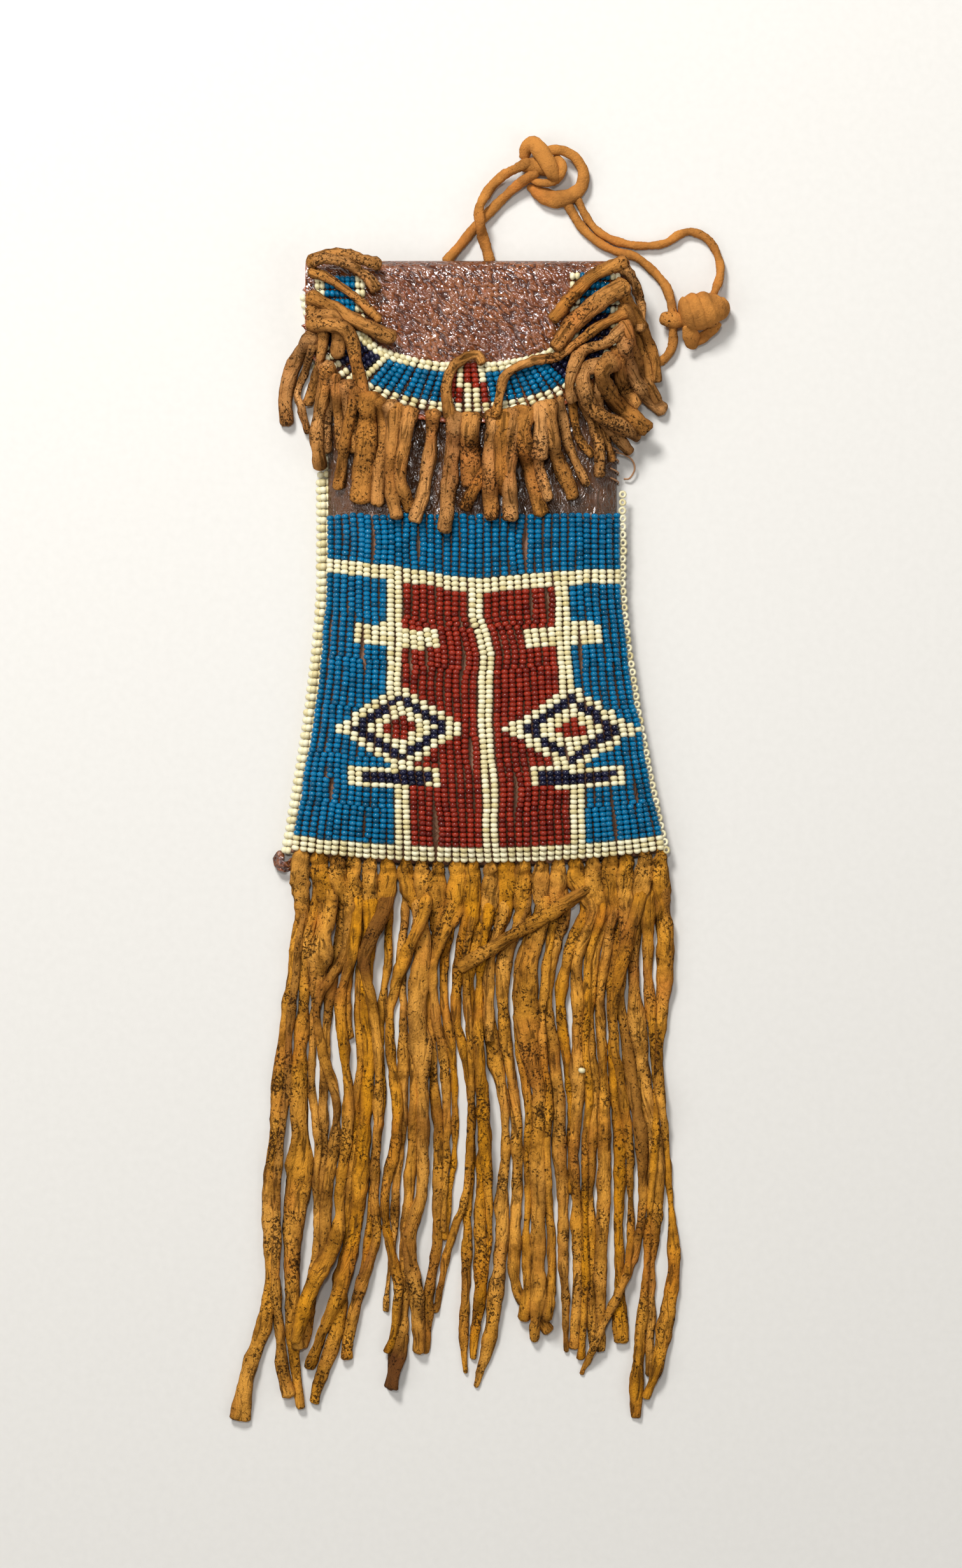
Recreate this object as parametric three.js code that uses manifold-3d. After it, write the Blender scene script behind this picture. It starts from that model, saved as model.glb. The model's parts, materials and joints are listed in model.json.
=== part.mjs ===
// A beaded strike-a-light pouch that lies on its back: two leather panels sewn into a flat pocket,
// a fringed and beaded flap that folds over the mouth, lane-stitched glass beads on the front,
// beaded side seams, a looped buckskin fringe on the hem, and a knotted hanging thong with a toggle.
// Millimetres. X runs across the pouch, Y from the hem up to the fold, Z up from the back's underside.
import * as THREE from 'three';
import { mergeVertices } from 'three/addons/utils/BufferGeometryUtils.js';
import Module from 'manifold-3d';

const wasm = await Module();
wasm.setup();

// Leather body
const POUCH_LENGTH = 153.2;
const WAIST_HALF = 36.6;
const HEM_FLARE = 10.8;
const HEM_DRIFT = 1.2;
const FLARE_LENGTH = 71.6;
const SHOULDER_FLARE = 3.4;
const SHOULDER_LENGTH = 32;
const HEM_SAG = 3.2;
const LEATHER = 1.6;
const POCKET_DEPTH = 5.2;
const HEM_CLOSING = 26;
const MOUTH_DROP = 12;
const CLEARANCE = 0.3;

// Flap
const FLAP_HALF = 41;
const FLAP_SHIFT = -1.2;
const FLAP_SIDE = 17.6;
const FLAP_ROUND = 24;
const FLAP_DROOP = 1.6;
const FOLD_RADIUS = 5;

// Beadwork
const BEAD_HEIGHT = 1.6;
const STRING_PITCH = 2;
const STRING_DIP = 0.6;
const LANE_HEIGHT = 12.5;
const LANE_DIP = 0.4;
const SIDE_ROOM = 0.8;
const FIELD_GAP = 0.15;
const LINE_HALF = 1.8;
const STRIPE_HALF = 2;
const BAND_TOP = 88.6;
const TOP_LINE_ENDS = 74.4;
const TOP_LINE_SAG = 3.8;
const BOTTOM_LINE = 2.4;
const SPINE_X = 3;
const SPINE_GAP = 3.4;
const EDGE_GAP = 1.9;
const MOTIF_HEIGHT = 34.6;
const MOTIF_TALL = 10;
const RING_WIDE = 10.4;
const RING_TALL = 8.4;
const HEART_WIDE = 8.8;
const HEART_TALL = 6.2;
const CORE_WIDE = 4.6;
const CORE_TALL = 3;
const CROSS_HEIGHT = 57.6;
const CROSS_ARM = 10.6;
const CROSS_HALF = 2.5;
const BAR_HEIGHT = 22.2;
const BAR_HALF = 11;
const BAR_TALL = 2.5;
const BAR_CORE_HALF = 8.8;
const BAR_CORE_TALL = 1.3;
const LEFT_ROLL_RADIUS = 1.6;
const LEFT_ROLL_TOP = 140;
const RIGHT_ROLL_RADIUS = 1.1;
const RIGHT_ROLL_TOP = 94.3;
const ROLL_ROOM = 0.4;

// Flap bead band, measured inwards from the flap's edge
const BAND_INSET = 2.4;
const BAND_LINE = 2;
const BAND_WIDTH = 12.8;

// Fringe and thong
const THONG_RADIUS = 1.3;
const THONG_SIDES = 5;
const HALF_STEP = 0.5;
const FRINGE_STATION = 12;
const NECK = 3;
const HEM_ROOM = 0.6;
const FRINGE_LEFT_INSET = 3.1;
const FRINGE_RIGHT_INSET = 0.6;
const STRAND_RADIUS = 1.45;
const STRAND_FALL = 0.5;
const LACING_RADIUS = 1;
const LACING_INSET = 1.4;
const LACING_END = 0.06;
const EDGE_ROOM = 0.012;

const FOLD_Y = POUCH_LENGTH / 2;
const HEM_Y = -POUCH_LENGTH / 2;
const MOUTH_Y = FOLD_Y - MOUTH_DROP;
const HEM_HALF = WAIST_HALF + HEM_FLARE;
const SEAM_Z = LEATHER + CLEARANCE;
const FRONT_TOP = SEAM_Z + POCKET_DEPTH + LEATHER;
const BEAD_TOP = FRONT_TOP + CLEARANCE + BEAD_HEIGHT;
const FLAP_Z = FRONT_TOP + CLEARANCE;
const FLAP_TOP = FLAP_Z + LEATHER;
const FLAP_BEAD_TOP = FLAP_TOP + CLEARANCE + BEAD_HEIGHT;
const HINGE_Z = FLAP_TOP / 2;
const FLAP_SIDE_Y = FOLD_Y - FLAP_SIDE;

// Grid of the curved sheets
const SHEET_COLUMNS = 10;
const BACK_COLUMNS = 6;
const FRONT_ROWS = 18;
const FLAP_ROWS = 10;
const FOLD_ROWS = 3;
const PRISM_HEIGHT = 40;
const STRIP_STOPS = 10;
const EDGE_STEPS = 8;
const ROLL_STEPS = 14;
const HAIRPIN_STEPS = 4;
const SETTLE_STEP = 1.5;
const SETTLE_LIFT = 0.35;
const SETTLE_ROUNDS = 80;

const pouch = new THREE.Group();

const LEATHER_FINISH = { color: 0x5a4034, roughness: 0.45, metalness: 0 };
const FLAP_FINISH = { color: 0x5b2f22, roughness: 0.3, metalness: 0 };
const BUCKSKIN_FINISH = { color: 0xb5792f, roughness: 0.9, metalness: 0 };
const THONG_FINISH = { color: 0xc08a48, roughness: 0.9, metalness: 0 };
const BLUE_FINISH = { color: 0x0f5e93, roughness: 0.2, metalness: 0 };
const RED_FINISH = { color: 0x7a1a14, roughness: 0.2, metalness: 0 };
const WHITE_FINISH = { color: 0xefe8c8, roughness: 0.25, metalness: 0 };
const NAVY_FINISH = { color: 0x12122a, roughness: 0.2, metalness: 0 };

function addPiece(name, geometry, finish) {
  const piece = new THREE.Mesh(geometry, new THREE.MeshStandardMaterial(finish));
  piece.name = name;
  pouch.add(piece);
  return piece;
}

// A closed geometry as a solid that can be joined and cut
function solid(geometry) {
  const bare = geometry.clone();
  bare.deleteAttribute('normal');
  bare.deleteAttribute('uv');
  const merged = mergeVertices(bare, 1e-4);
  const mesh = new wasm.Mesh({
    numProp: 3,
    vertProperties: merged.attributes.position.array,
    triVerts: new Uint32Array(merged.index.array),
  });
  return new wasm.Manifold(mesh);
}

function surface(made) {
  const mesh = made.getMesh();
  const geometry = new THREE.BufferGeometry();
  geometry.setAttribute('position', new THREE.BufferAttribute(mesh.vertProperties, 3));
  geometry.setIndex(new THREE.BufferAttribute(mesh.triVerts, 1));
  return geometry;
}

function join(solids) {
  return solids.reduce((whole, next) => whole.add(next));
}

// A sheet bent by a function: across from -1 to 1, along from 0 to 1, depth from 0 to 1
function sheet(columns, rows, place) {
  const geometry = new THREE.BoxGeometry(2, 1, 1, columns, rows, 1);
  const position = geometry.attributes.position;
  for (let i = 0; i < position.count; i += 1) {
    const point = place(position.getX(i), position.getY(i) + 0.5, position.getZ(i) + 0.5);
    position.setXYZ(i, point.x, point.y, point.z);
  }
  return geometry;
}

// Draws an even run of columns together towards the sides, where a sheet bends most
function crowd(across) {
  return Math.sin((across * Math.PI) / 2);
}

function prism(points) {
  const outline = new THREE.Shape(points.map(([x, y]) => new THREE.Vector2(x, y)));
  return solid(new THREE.ExtrudeGeometry(outline, { depth: PRISM_HEIGHT, bevelEnabled: false }));
}

// A straight run from point to point, whose corners are the points themselves
class Route extends THREE.Curve {
  constructor(points) {
    super();
    this.points = points;
  }

  getPoint(share, target = new THREE.Vector3()) {
    const place = share * (this.points.length - 1);
    const step = Math.min(Math.floor(place), this.points.length - 2);
    return target.lerpVectors(this.points[step], this.points[step + 1], place - step);
  }

  getSpacedPoints() {
    return this.points;
  }
}

function tube(points, radius, sides, turn = 0) {
  const section = new THREE.Shape();
  for (let k = 0; k < sides; k += 1) {
    const angle = (2 * Math.PI * (k + turn)) / sides;
    const corner = [radius * Math.cos(angle), radius * Math.sin(angle)];
    if (k === 0) section.moveTo(...corner);
    else section.lineTo(...corner);
  }
  section.closePath();
  const steps = points.length - 1;
  return new THREE.ExtrudeGeometry(section, { steps, extrudePath: new Route(points), bevelEnabled: false });
}

// A smooth cord through hand-chosen points, two diameters to a step or one where it bends tightly
function cord(points, radius, stepDiameters = 2) {
  const curve = new THREE.CatmullRomCurve3(points.map((p) => new THREE.Vector3(...p)));
  const steps = Math.ceil(curve.getLength() / (2 * radius * stepDiameters));
  return tube(curve.getSpacedPoints(steps), radius, 8);
}

// How far the flare has come at a height: 0 at the waist, 1 at the hem
function flareAt(y) {
  return Math.max(0, 1 - (y - HEM_Y) / FLARE_LENGTH) ** 1.4;
}

// Half the leather's width: straight at the waist, flared to the hem and a little to the fold
function halfWidth(y) {
  const shoulder = Math.max(0, 1 - (FOLD_Y - y) / SHOULDER_LENGTH);
  return WAIST_HALF + HEM_FLARE * flareAt(y) + SHOULDER_FLARE * shoulder ** 2;
}

// A place across the leather; the hem is drawn a little to the right
function acrossX(across, y) {
  return across * halfWidth(y) + HEM_DRIFT * flareAt(y);
}

function hemLine(x) {
  return HEM_Y + HEM_SAG * ((x - HEM_DRIFT) / HEM_HALF) ** 2;
}

function hemLift(x, along) {
  return (hemLine(x) - HEM_Y) * (1 - along) ** 4;
}

// The front panel bulges over the pocket and comes down to the seams at its sides and hem
function frontPoint(across, along, height) {
  const y = THREE.MathUtils.lerp(HEM_Y, MOUTH_Y, along);
  const x = acrossX(across, y);
  const closing = Math.max(0, 1 - (y - HEM_Y) / HEM_CLOSING) ** 3;
  const rise = POCKET_DEPTH * (1 - Math.abs(across) ** 8) * (1 - closing);
  return new THREE.Vector3(x, y + hemLift(x, along), SEAM_Z + rise + height);
}

// The back panel lies flat and turns up into the lower half of the fold
function backPoint(across, along, depth) {
  const turn = 1 - FOLD_ROWS / FRONT_ROWS;
  const radius = HINGE_Z - CLEARANCE / 2;
  const flatEnd = FOLD_Y - radius;
  const y = THREE.MathUtils.lerp(HEM_Y, flatEnd, Math.min(1, along / turn));
  if (along <= turn) {
    const x = acrossX(across, y);
    return new THREE.Vector3(x, y + hemLift(x, along), depth * LEATHER);
  }
  const angle = ((along - turn) / (1 - turn)) * (Math.PI / 2);
  const reach = radius - depth * LEATHER;
  const bentY = flatEnd + reach * Math.sin(angle);
  return new THREE.Vector3(acrossX(across, bentY), bentY, radius - reach * Math.cos(angle));
}

const backSheet = sheet(BACK_COLUMNS, FRONT_ROWS, (u, v, w) => backPoint(crowd(u), v, w));
addPiece('back_panel', backSheet, LEATHER_FINISH);
const frontSheet = sheet(SHEET_COLUMNS, FRONT_ROWS, (u, v, w) => frontPoint(crowd(u), v, w * LEATHER));
addPiece('front_panel', frontSheet, LEATHER_FINISH);

// Front beadwork: bead sheets cut into the pattern's fields of colour. The large fields are ribbed by
// their strings and dipped between their lanes; the narrow lines and figures are cut from a smooth sheet
const stringColumns = 2 * Math.round((WAIST_HALF + HEM_HALF) / STRING_PITCH);
const laneRows = 2 * Math.ceil(BAND_TOP / LANE_HEIGHT);
const laneReach = (laneRows * LANE_HEIGHT) / 2 / (MOUTH_Y - HEM_Y);
const beadShare = 1 - SIDE_ROOM / HEM_HALF;

function isEven(share, count) {
  return Math.round(share * count) % 2 === 0;
}

function beadPoint(across, along, height, depth) {
  return frontPoint(across * beadShare, along * laneReach, depth * (LEATHER + CLEARANCE + height));
}

function ribbedPoint(across, along, depth) {
  const stringDip = isEven((across + 1) / 2, stringColumns) ? STRING_DIP : 0;
  const laneDip = isEven(along, laneRows) ? LANE_DIP : 0;
  return beadPoint(across, along, BEAD_HEIGHT - stringDip - laneDip, depth);
}

function underBeads(across, along, depth) {
  return frontPoint(crowd(across), along, THREE.MathUtils.lerp(-LEATHER, LEATHER + CLEARANCE, depth));
}

const beadBed = solid(sheet(SHEET_COLUMNS, FRONT_ROWS, underBeads));
const ribbedSheet = solid(sheet(stringColumns, laneRows, ribbedPoint)).subtract(beadBed);
const beadSheet = solid(sheet(SHEET_COLUMNS, laneRows, (u, v, w) => beadPoint(crowd(u), v, BEAD_HEIGHT, w)))
  .subtract(beadBed);
const motifY = HEM_Y + MOTIF_HEIGHT;
const motifHalf = (acrossX(1, motifY) - SPINE_X - STRIPE_HALF - SPINE_GAP - EDGE_GAP) / 2;
const fieldReach = HEM_HALF + SHOULDER_FLARE;

function motifX(side) {
  return SPINE_X + side * (STRIPE_HALF + SPINE_GAP + motifHalf);
}

function bandTop() {
  return HEM_Y + BAND_TOP;
}

function topLine(x) {
  return HEM_Y + TOP_LINE_ENDS - TOP_LINE_SAG * (1 - Math.min(1, Math.abs(x) / WAIST_HALF) ** 2);
}

function bottomLine(x) {
  return hemLine(x) + BOTTOM_LINE;
}

// The area between two heights, from one place across the pouch to another
function strip(lower, upper, x0, x1) {
  const stops = [];
  for (let k = 0; k <= STRIP_STOPS; k += 1) stops.push(THREE.MathUtils.lerp(x0, x1, k / STRIP_STOPS));
  const below = stops.map((x) => [x, lower(x)]);
  const above = stops.map((x) => [x, upper(x)]).reverse();
  return prism([...below, ...above]);
}

function line(height, grow) {
  const half = LINE_HALF + grow;
  return strip((x) => height(x) - half, (x) => height(x) + half, -fieldReach, fieldReach);
}

function box(x, y, wide, tall, grow) {
  const halfX = wide + grow;
  const halfY = tall + grow;
  const lower = [[x - halfX, y - halfY], [x + halfX, y - halfY]];
  const upper = [[x + halfX, y + halfY], [x - halfX, y + halfY]];
  return prism([...lower, ...upper]);
}

function column(x, y0, y1, grow) {
  return box(x, (y0 + y1) / 2, STRIPE_HALF, (y1 - y0) / 2, grow);
}

function diamond(side, wide, tall, grow) {
  const x = motifX(side);
  const swell = 1 + grow * Math.hypot(1 / wide, 1 / tall);
  const halfX = wide * swell;
  const halfY = tall * swell;
  return prism([[x - halfX, motifY], [x, motifY - halfY], [x + halfX, motifY], [x, motifY + halfY]]);
}

function barCore(side, grow) {
  return box(motifX(side), HEM_Y + BAR_HEIGHT, BAR_CORE_HALF, BAR_CORE_TALL, grow);
}

// Everything white on the front: two lines, the spine, and on each side a column with a cross,
// a diamond's border and a barred foot
function whiteLattice(grow) {
  const shapes = [line(topLine, grow), line(bottomLine, grow)];
  shapes.push(column(SPINE_X, bottomLine(SPINE_X), topLine(SPINE_X), grow));
  for (const side of [-1, 1]) {
    const x = motifX(side);
    shapes.push(column(x, bottomLine(x), topLine(x), grow));
    shapes.push(box(x, HEM_Y + CROSS_HEIGHT, CROSS_ARM, CROSS_HALF, grow));
    shapes.push(box(x, HEM_Y + BAR_HEIGHT, BAR_HALF, BAR_TALL, grow));
    shapes.push(diamond(side, motifHalf, MOTIF_TALL, grow));
  }
  return join(shapes);
}

const lattice = whiteLattice(FIELD_GAP);

function colourField(lower, upper, x0, x1) {
  return ribbedSheet.intersect(strip(lower, upper, x0, x1)).subtract(lattice);
}

function addField(name, made, finish) {
  addPiece(name, surface(made), finish);
}

let whiteBeads = beadSheet.intersect(whiteLattice(-FIELD_GAP));
for (const side of [-1, 1]) {
  const insides = diamond(side, RING_WIDE, RING_TALL, FIELD_GAP).add(barCore(side, FIELD_GAP));
  whiteBeads = whiteBeads.subtract(insides);
}
addField('white_lattice', whiteBeads, WHITE_FINISH);
addField('blue_band', colourField(topLine, bandTop, -fieldReach, fieldReach), BLUE_FINISH);
addField('blue_field_left', colourField(bottomLine, topLine, -fieldReach, motifX(-1)), BLUE_FINISH);
addField('red_field_left', colourField(bottomLine, topLine, motifX(-1), SPINE_X), RED_FINISH);
addField('red_field_right', colourField(bottomLine, topLine, SPINE_X, motifX(1)), RED_FINISH);
addField('blue_field_right', colourField(bottomLine, topLine, motifX(1), fieldReach), BLUE_FINISH);
for (const [side, place] of [[-1, 'left'], [1, 'right']]) {
  const ring = diamond(side, RING_WIDE, RING_TALL, -FIELD_GAP)
    .subtract(diamond(side, HEART_WIDE, HEART_TALL, FIELD_GAP));
  const heart = diamond(side, HEART_WIDE, HEART_TALL, -FIELD_GAP)
    .subtract(diamond(side, CORE_WIDE, CORE_TALL, FIELD_GAP));
  const core = diamond(side, CORE_WIDE, CORE_TALL, -FIELD_GAP);
  addField(`navy_ring_${place}`, beadSheet.intersect(ring), NAVY_FINISH);
  addField(`white_heart_${place}`, beadSheet.intersect(heart), WHITE_FINISH);
  addField(`red_core_${place}`, beadSheet.intersect(core), RED_FINISH);
  addField(`navy_bar_${place}`, beadSheet.intersect(barCore(side, -FIELD_GAP)), NAVY_FINISH);
}

// Bead rolls sewn over the side seams: a full one on the left, a thinner and shorter one on the right
function edgeRoll(side, radius, top) {
  const points = [];
  for (let k = 0; k <= ROLL_STEPS; k += 1) {
    const along = THREE.MathUtils.lerp(top / (MOUTH_Y - HEM_Y), 0, k / ROLL_STEPS);
    const edge = frontPoint(side, along, 0);
    points.push(new THREE.Vector3(edge.x + side * (radius + ROLL_ROOM), edge.y, radius));
  }
  return tube(points, radius, 8);
}

addPiece('left_edge_beads', edgeRoll(-1, LEFT_ROLL_RADIUS, LEFT_ROLL_TOP), WHITE_FINISH);
addPiece('right_edge_beads', edgeRoll(1, RIGHT_ROLL_RADIUS, RIGHT_ROLL_TOP), WHITE_FINISH);

// The flap: a sheet that turns over the upper half of the fold, cut to a rounded tongue
function flapPoint(across, along, height) {
  const turn = FLAP_ROWS / (FLAP_ROWS + FOLD_ROWS);
  const x = FLAP_SHIFT + across * FLAP_HALF;
  const droop = FLAP_DROOP * across ** 4;
  const centreY = FOLD_Y - FOLD_RADIUS;
  const centreZ = HINGE_Z + CLEARANCE / 2;
  const rise = FLAP_Z - centreZ + height;
  if (along <= turn) {
    const y = THREE.MathUtils.lerp(FLAP_SIDE_Y - FLAP_ROUND, centreY, along / turn);
    return new THREE.Vector3(x, y, centreZ + rise - droop);
  }
  const angle = ((along - turn) / (1 - turn)) * (Math.PI / 2);
  const y = centreY + (FOLD_RADIUS - LEATHER + height) * Math.sin(angle);
  return new THREE.Vector3(x, y, centreZ + (rise - droop) * Math.cos(angle));
}

// A place along the flap's edge, inset from it: 0 and 4 at the fold, 2 at the tip
function flapEdge(place, inset) {
  const wide = FLAP_HALF - inset;
  if (place < 1) return [FLAP_SHIFT - wide, FOLD_Y - place * FLAP_SIDE];
  if (place > 3) return [FLAP_SHIFT + wide, FOLD_Y - (4 - place) * FLAP_SIDE];
  const angle = Math.PI + ((place - 1) * Math.PI) / 2;
  return [FLAP_SHIFT + wide * Math.cos(angle), FLAP_SIDE_Y + (FLAP_ROUND - inset) * Math.sin(angle)];
}

function edgeRun(from, to, inset) {
  const steps = Math.max(2, Math.ceil((to - from) * EDGE_STEPS));
  const run = [];
  for (let k = 0; k <= steps; k += 1) run.push(flapEdge(THREE.MathUtils.lerp(from, to, k / steps), inset));
  return run;
}

function edgeBand(from, to, outer, inner) {
  return prism([...edgeRun(from, to, outer), ...edgeRun(from, to, inner).reverse()]);
}

const backOfFold = FOLD_Y + FOLD_RADIUS;
const tongue = [
  [FLAP_SHIFT - FLAP_HALF, backOfFold],
  ...edgeRun(0, 4, 0).slice(1, -1),
  [FLAP_SHIFT + FLAP_HALF, backOfFold],
];
const flapRows = FLAP_ROWS + FOLD_ROWS;
const flapSheet = sheet(SHEET_COLUMNS, flapRows, (u, v, w) => flapPoint(crowd(u), v, w * LEATHER));
addField('flap_leather', solid(flapSheet).intersect(prism(tongue)), FLAP_FINISH);

// The flap's bead band: two white lines with white bars between them, and fields of colour inside
const flapBeads = solid(sheet(SHEET_COLUMNS, 1, (u, v, w) => {
  const flat = (v * FLAP_ROWS) / flapRows;
  return flapPoint(crowd(u), flat, LEATHER + CLEARANCE + w * BEAD_HEIGHT);
}));
const BAND_ENDS = [0.3, 3.7];
const BAND_FIELDS = [
  ['flap_blue_corner_left', 0.36, 0.76, BLUE_FINISH],
  ['flap_navy_left', 0.84, 1.45, NAVY_FINISH],
  ['flap_blue_left', 1.5, 1.88, BLUE_FINISH],
  ['flap_red_centre', 1.92, 2.08, RED_FINISH],
  ['flap_blue_right', 2.12, 2.46, BLUE_FINISH],
  ['flap_navy_right', 2.51, 3.16, NAVY_FINISH],
  ['flap_blue_corner_right', 3.24, 3.64, BLUE_FINISH],
];
const fieldOuter = BAND_INSET + BAND_LINE;
const fieldInner = BAND_INSET + BAND_WIDTH - BAND_LINE;
let flapWhite = edgeBand(BAND_ENDS[0], BAND_ENDS[1], BAND_INSET, BAND_INSET + BAND_WIDTH);
for (const [name, from, to, finish] of BAND_FIELDS) {
  addField(name, flapBeads.intersect(edgeBand(from, to, fieldOuter, fieldInner)), finish);
  const outer = fieldOuter - 2 * FIELD_GAP;
  const inner = fieldInner + 2 * FIELD_GAP;
  flapWhite = flapWhite.subtract(edgeBand(from - EDGE_ROOM, to + EDGE_ROOM, outer, inner));
}
addField('flap_white_lines', flapBeads.intersect(flapWhite), WHITE_FINISH);

// The flap's fringe: strands laced along its edge, each a root place and a run of offsets from it
const FLAP_STRANDS = [
  [0, [[4.5, 1.8], [9.4, 1.5], [17.1, -0.8]]],
  [0.06, [[4, 0.6], [8.9, -0.6], [13.7, -3.5], [16.3, -6.8]]],
  [0.2, [[4, -1.5], [10.8, -6.1], [17.1, -12.1]]],
  [0.57, [[6, -2.9], [12.4, -6.5], [20.2, -10.3]]],
  [0.72, [[2.3, -3.9], [2.9, -9.2], [1.1, -16.5], [-1.3, -23.2]]],
  [0.85, [[6, 0], [7, -5], [6.5, -9.5]]],
  [0.95, [[9, -2], [11.6, -10.5], [13.4, -19]]],
  [1.07, [[-3.5, -3.2], [-6.1, -8.9], [-7.1, -15.3], [-6.8, -20.5]]],
  [1.12, [[-4.5, -10.5], [-3.5, -15.3], [-2, -21.3]]],
  [1.28, [[2, -5], [-0.3, -12], [-0.5, -21]]],
  [1.3, [[-3, -15], [-2.3, -24]]],
  [1.36, [[0.5, -9], [1, -18]]],
  [1.44, [[1, -8], [2.2, -16.3]]],
  [1.5, [[-3, -12], [-4.8, -24]]],
  [1.56, [[-0.5, -12], [-2, -26]]],
  [1.62, [[1, -9], [-0.3, -18], [-0.5, -25.5]]],
  [1.67, [[1, -8], [0, -23]]],
  [1.7, [[-1.5, -14], [-1, -22], [0, -27.5]]],
  [1.76, [[-1.5, -9], [-2.4, -17.5], [0, -24.5]]],
  [1.86, [[-1, -10], [-3, -21], [-4.8, -26.5]]],
  [1.93, [[-1, 5], [-0.5, 10], [2, 13.5], [6.5, 15.5], [8, 13.5]]],
  [1.95, [[-0.5, -8], [-1.6, -18], [-2.7, -28.5]]],
  [2.01, [[0, -6], [0.5, -17]]],
  [2.1, [[0, -7], [-1, -13], [-4.5, -18.5], [-7, -23]]],
  [2.12, [[-1.5, -8], [-1.7, -17], [-1.3, -25.5]]],
  [2.16, [[-0.8, -10], [0.3, -19.5]]],
  [2.19, [[-1, -12], [-0.8, -26.5]]],
  [2.24, [[-1, -6], [1, -13], [4, -25.5]]],
  [2.3, [[0, -14], [2.5, -23]]],
  [2.32, [[-0.5, -8], [-1.2, -13]]],
  [2.34, [[1.8, -11], [4.2, -17.5], [6.5, -23]]],
  [2.4, [[2, -10], [4.8, -17], [6.8, -21]]],
  [2.46, [[1.8, -10], [5.5, -15]]],
  [2.5, [[5, -12], [5.5, -21]]],
  [2.56, [[4, -11], [6.3, -18.5]]],
  [2.66, [[-1, -9], [4, -15.5], [7, -19.2]]],
  [2.72, [[-6, -1], [-6.5, -5.6], [-3.2, -12], [7.3, -17]]],
  [2.76, [[-3, -3.5], [0, -9], [4.8, -13.5], [8.4, -16.8]]],
  [2.84, [[0.6, -7], [4.7, -13.5]]],
  [2.95, [[1, -6.5], [4.4, -13], [10, -18]]],
  [3, [[-4.5, -4], [-9.7, -5.6], [-12.6, -9.7], [-13.7, -14.5], [-13, -18.5]]],
  [3.05, [[3, -7.3], [6.3, -13.7], [8.7, -18.5]]],
  [3.2, [[-5.6, -2.9], [-11.3, -6.9], [-17, -11], [-23.4, -12.1], [-29.8, -15.8], [-32.3, -26]]],
  [3.3, [[3.5, -5.2], [5.6, -11.6], [6.8, -18]]],
  [3.45, [[4.7, -6.5], [7.9, -14.5], [8.4, -20.6]]],
  [3.59, [[-6.5, -4], [-13.7, -10.5], [-17.1, -15.3]]],
  [3.85, [[2.4, -2.7], [4.5, -8.4], [4.2, -14.8]]],
  [3.95, [[-7.7, -3.5], [-14.2, -10], [-17.7, -14.4]]],
];

function onFlap(x, y) {
  const across = Math.abs(x - FLAP_SHIFT) / FLAP_HALF;
  const down = Math.max(0, FLAP_SIDE_Y - y) / FLAP_ROUND;
  return across < 1 && Math.hypot(across, down) < 1;
}

// How high a strand's middle lies: on the flap's beads, on the front, or drooping past the sides
function strandHeight(x, y) {
  if (onFlap(x, y)) return FLAP_BEAD_TOP + CLEARANCE + STRAND_RADIUS;
  const past = Math.max(0, Math.abs(x) - halfWidth(y));
  return Math.max(STRAND_RADIUS, BEAD_TOP + CLEARANCE + STRAND_RADIUS - STRAND_FALL * past);
}

function strandPoint(x, y) {
  return new THREE.Vector3(x, y, strandHeight(x, y));
}

const lacing = edgeRun(LACING_END, 4 - LACING_END, LACING_INSET).map(([x, y]) => strandPoint(x, y));
const strands = FLAP_STRANDS.map(([place, offsets]) => {
  const root = flapEdge(THREE.MathUtils.clamp(place, LACING_END, 4 - LACING_END), LACING_INSET);
  const run = [[0, 0], ...offsets].map(([dx, dy]) => strandPoint(root[0] + dx, root[1] + dy));
  return solid(tube(run, STRAND_RADIUS, 4));
});
addField('flap_fringe', join([solid(tube(lacing, LACING_RADIUS, 6)), ...strands]), BUCKSKIN_FINISH);

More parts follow.
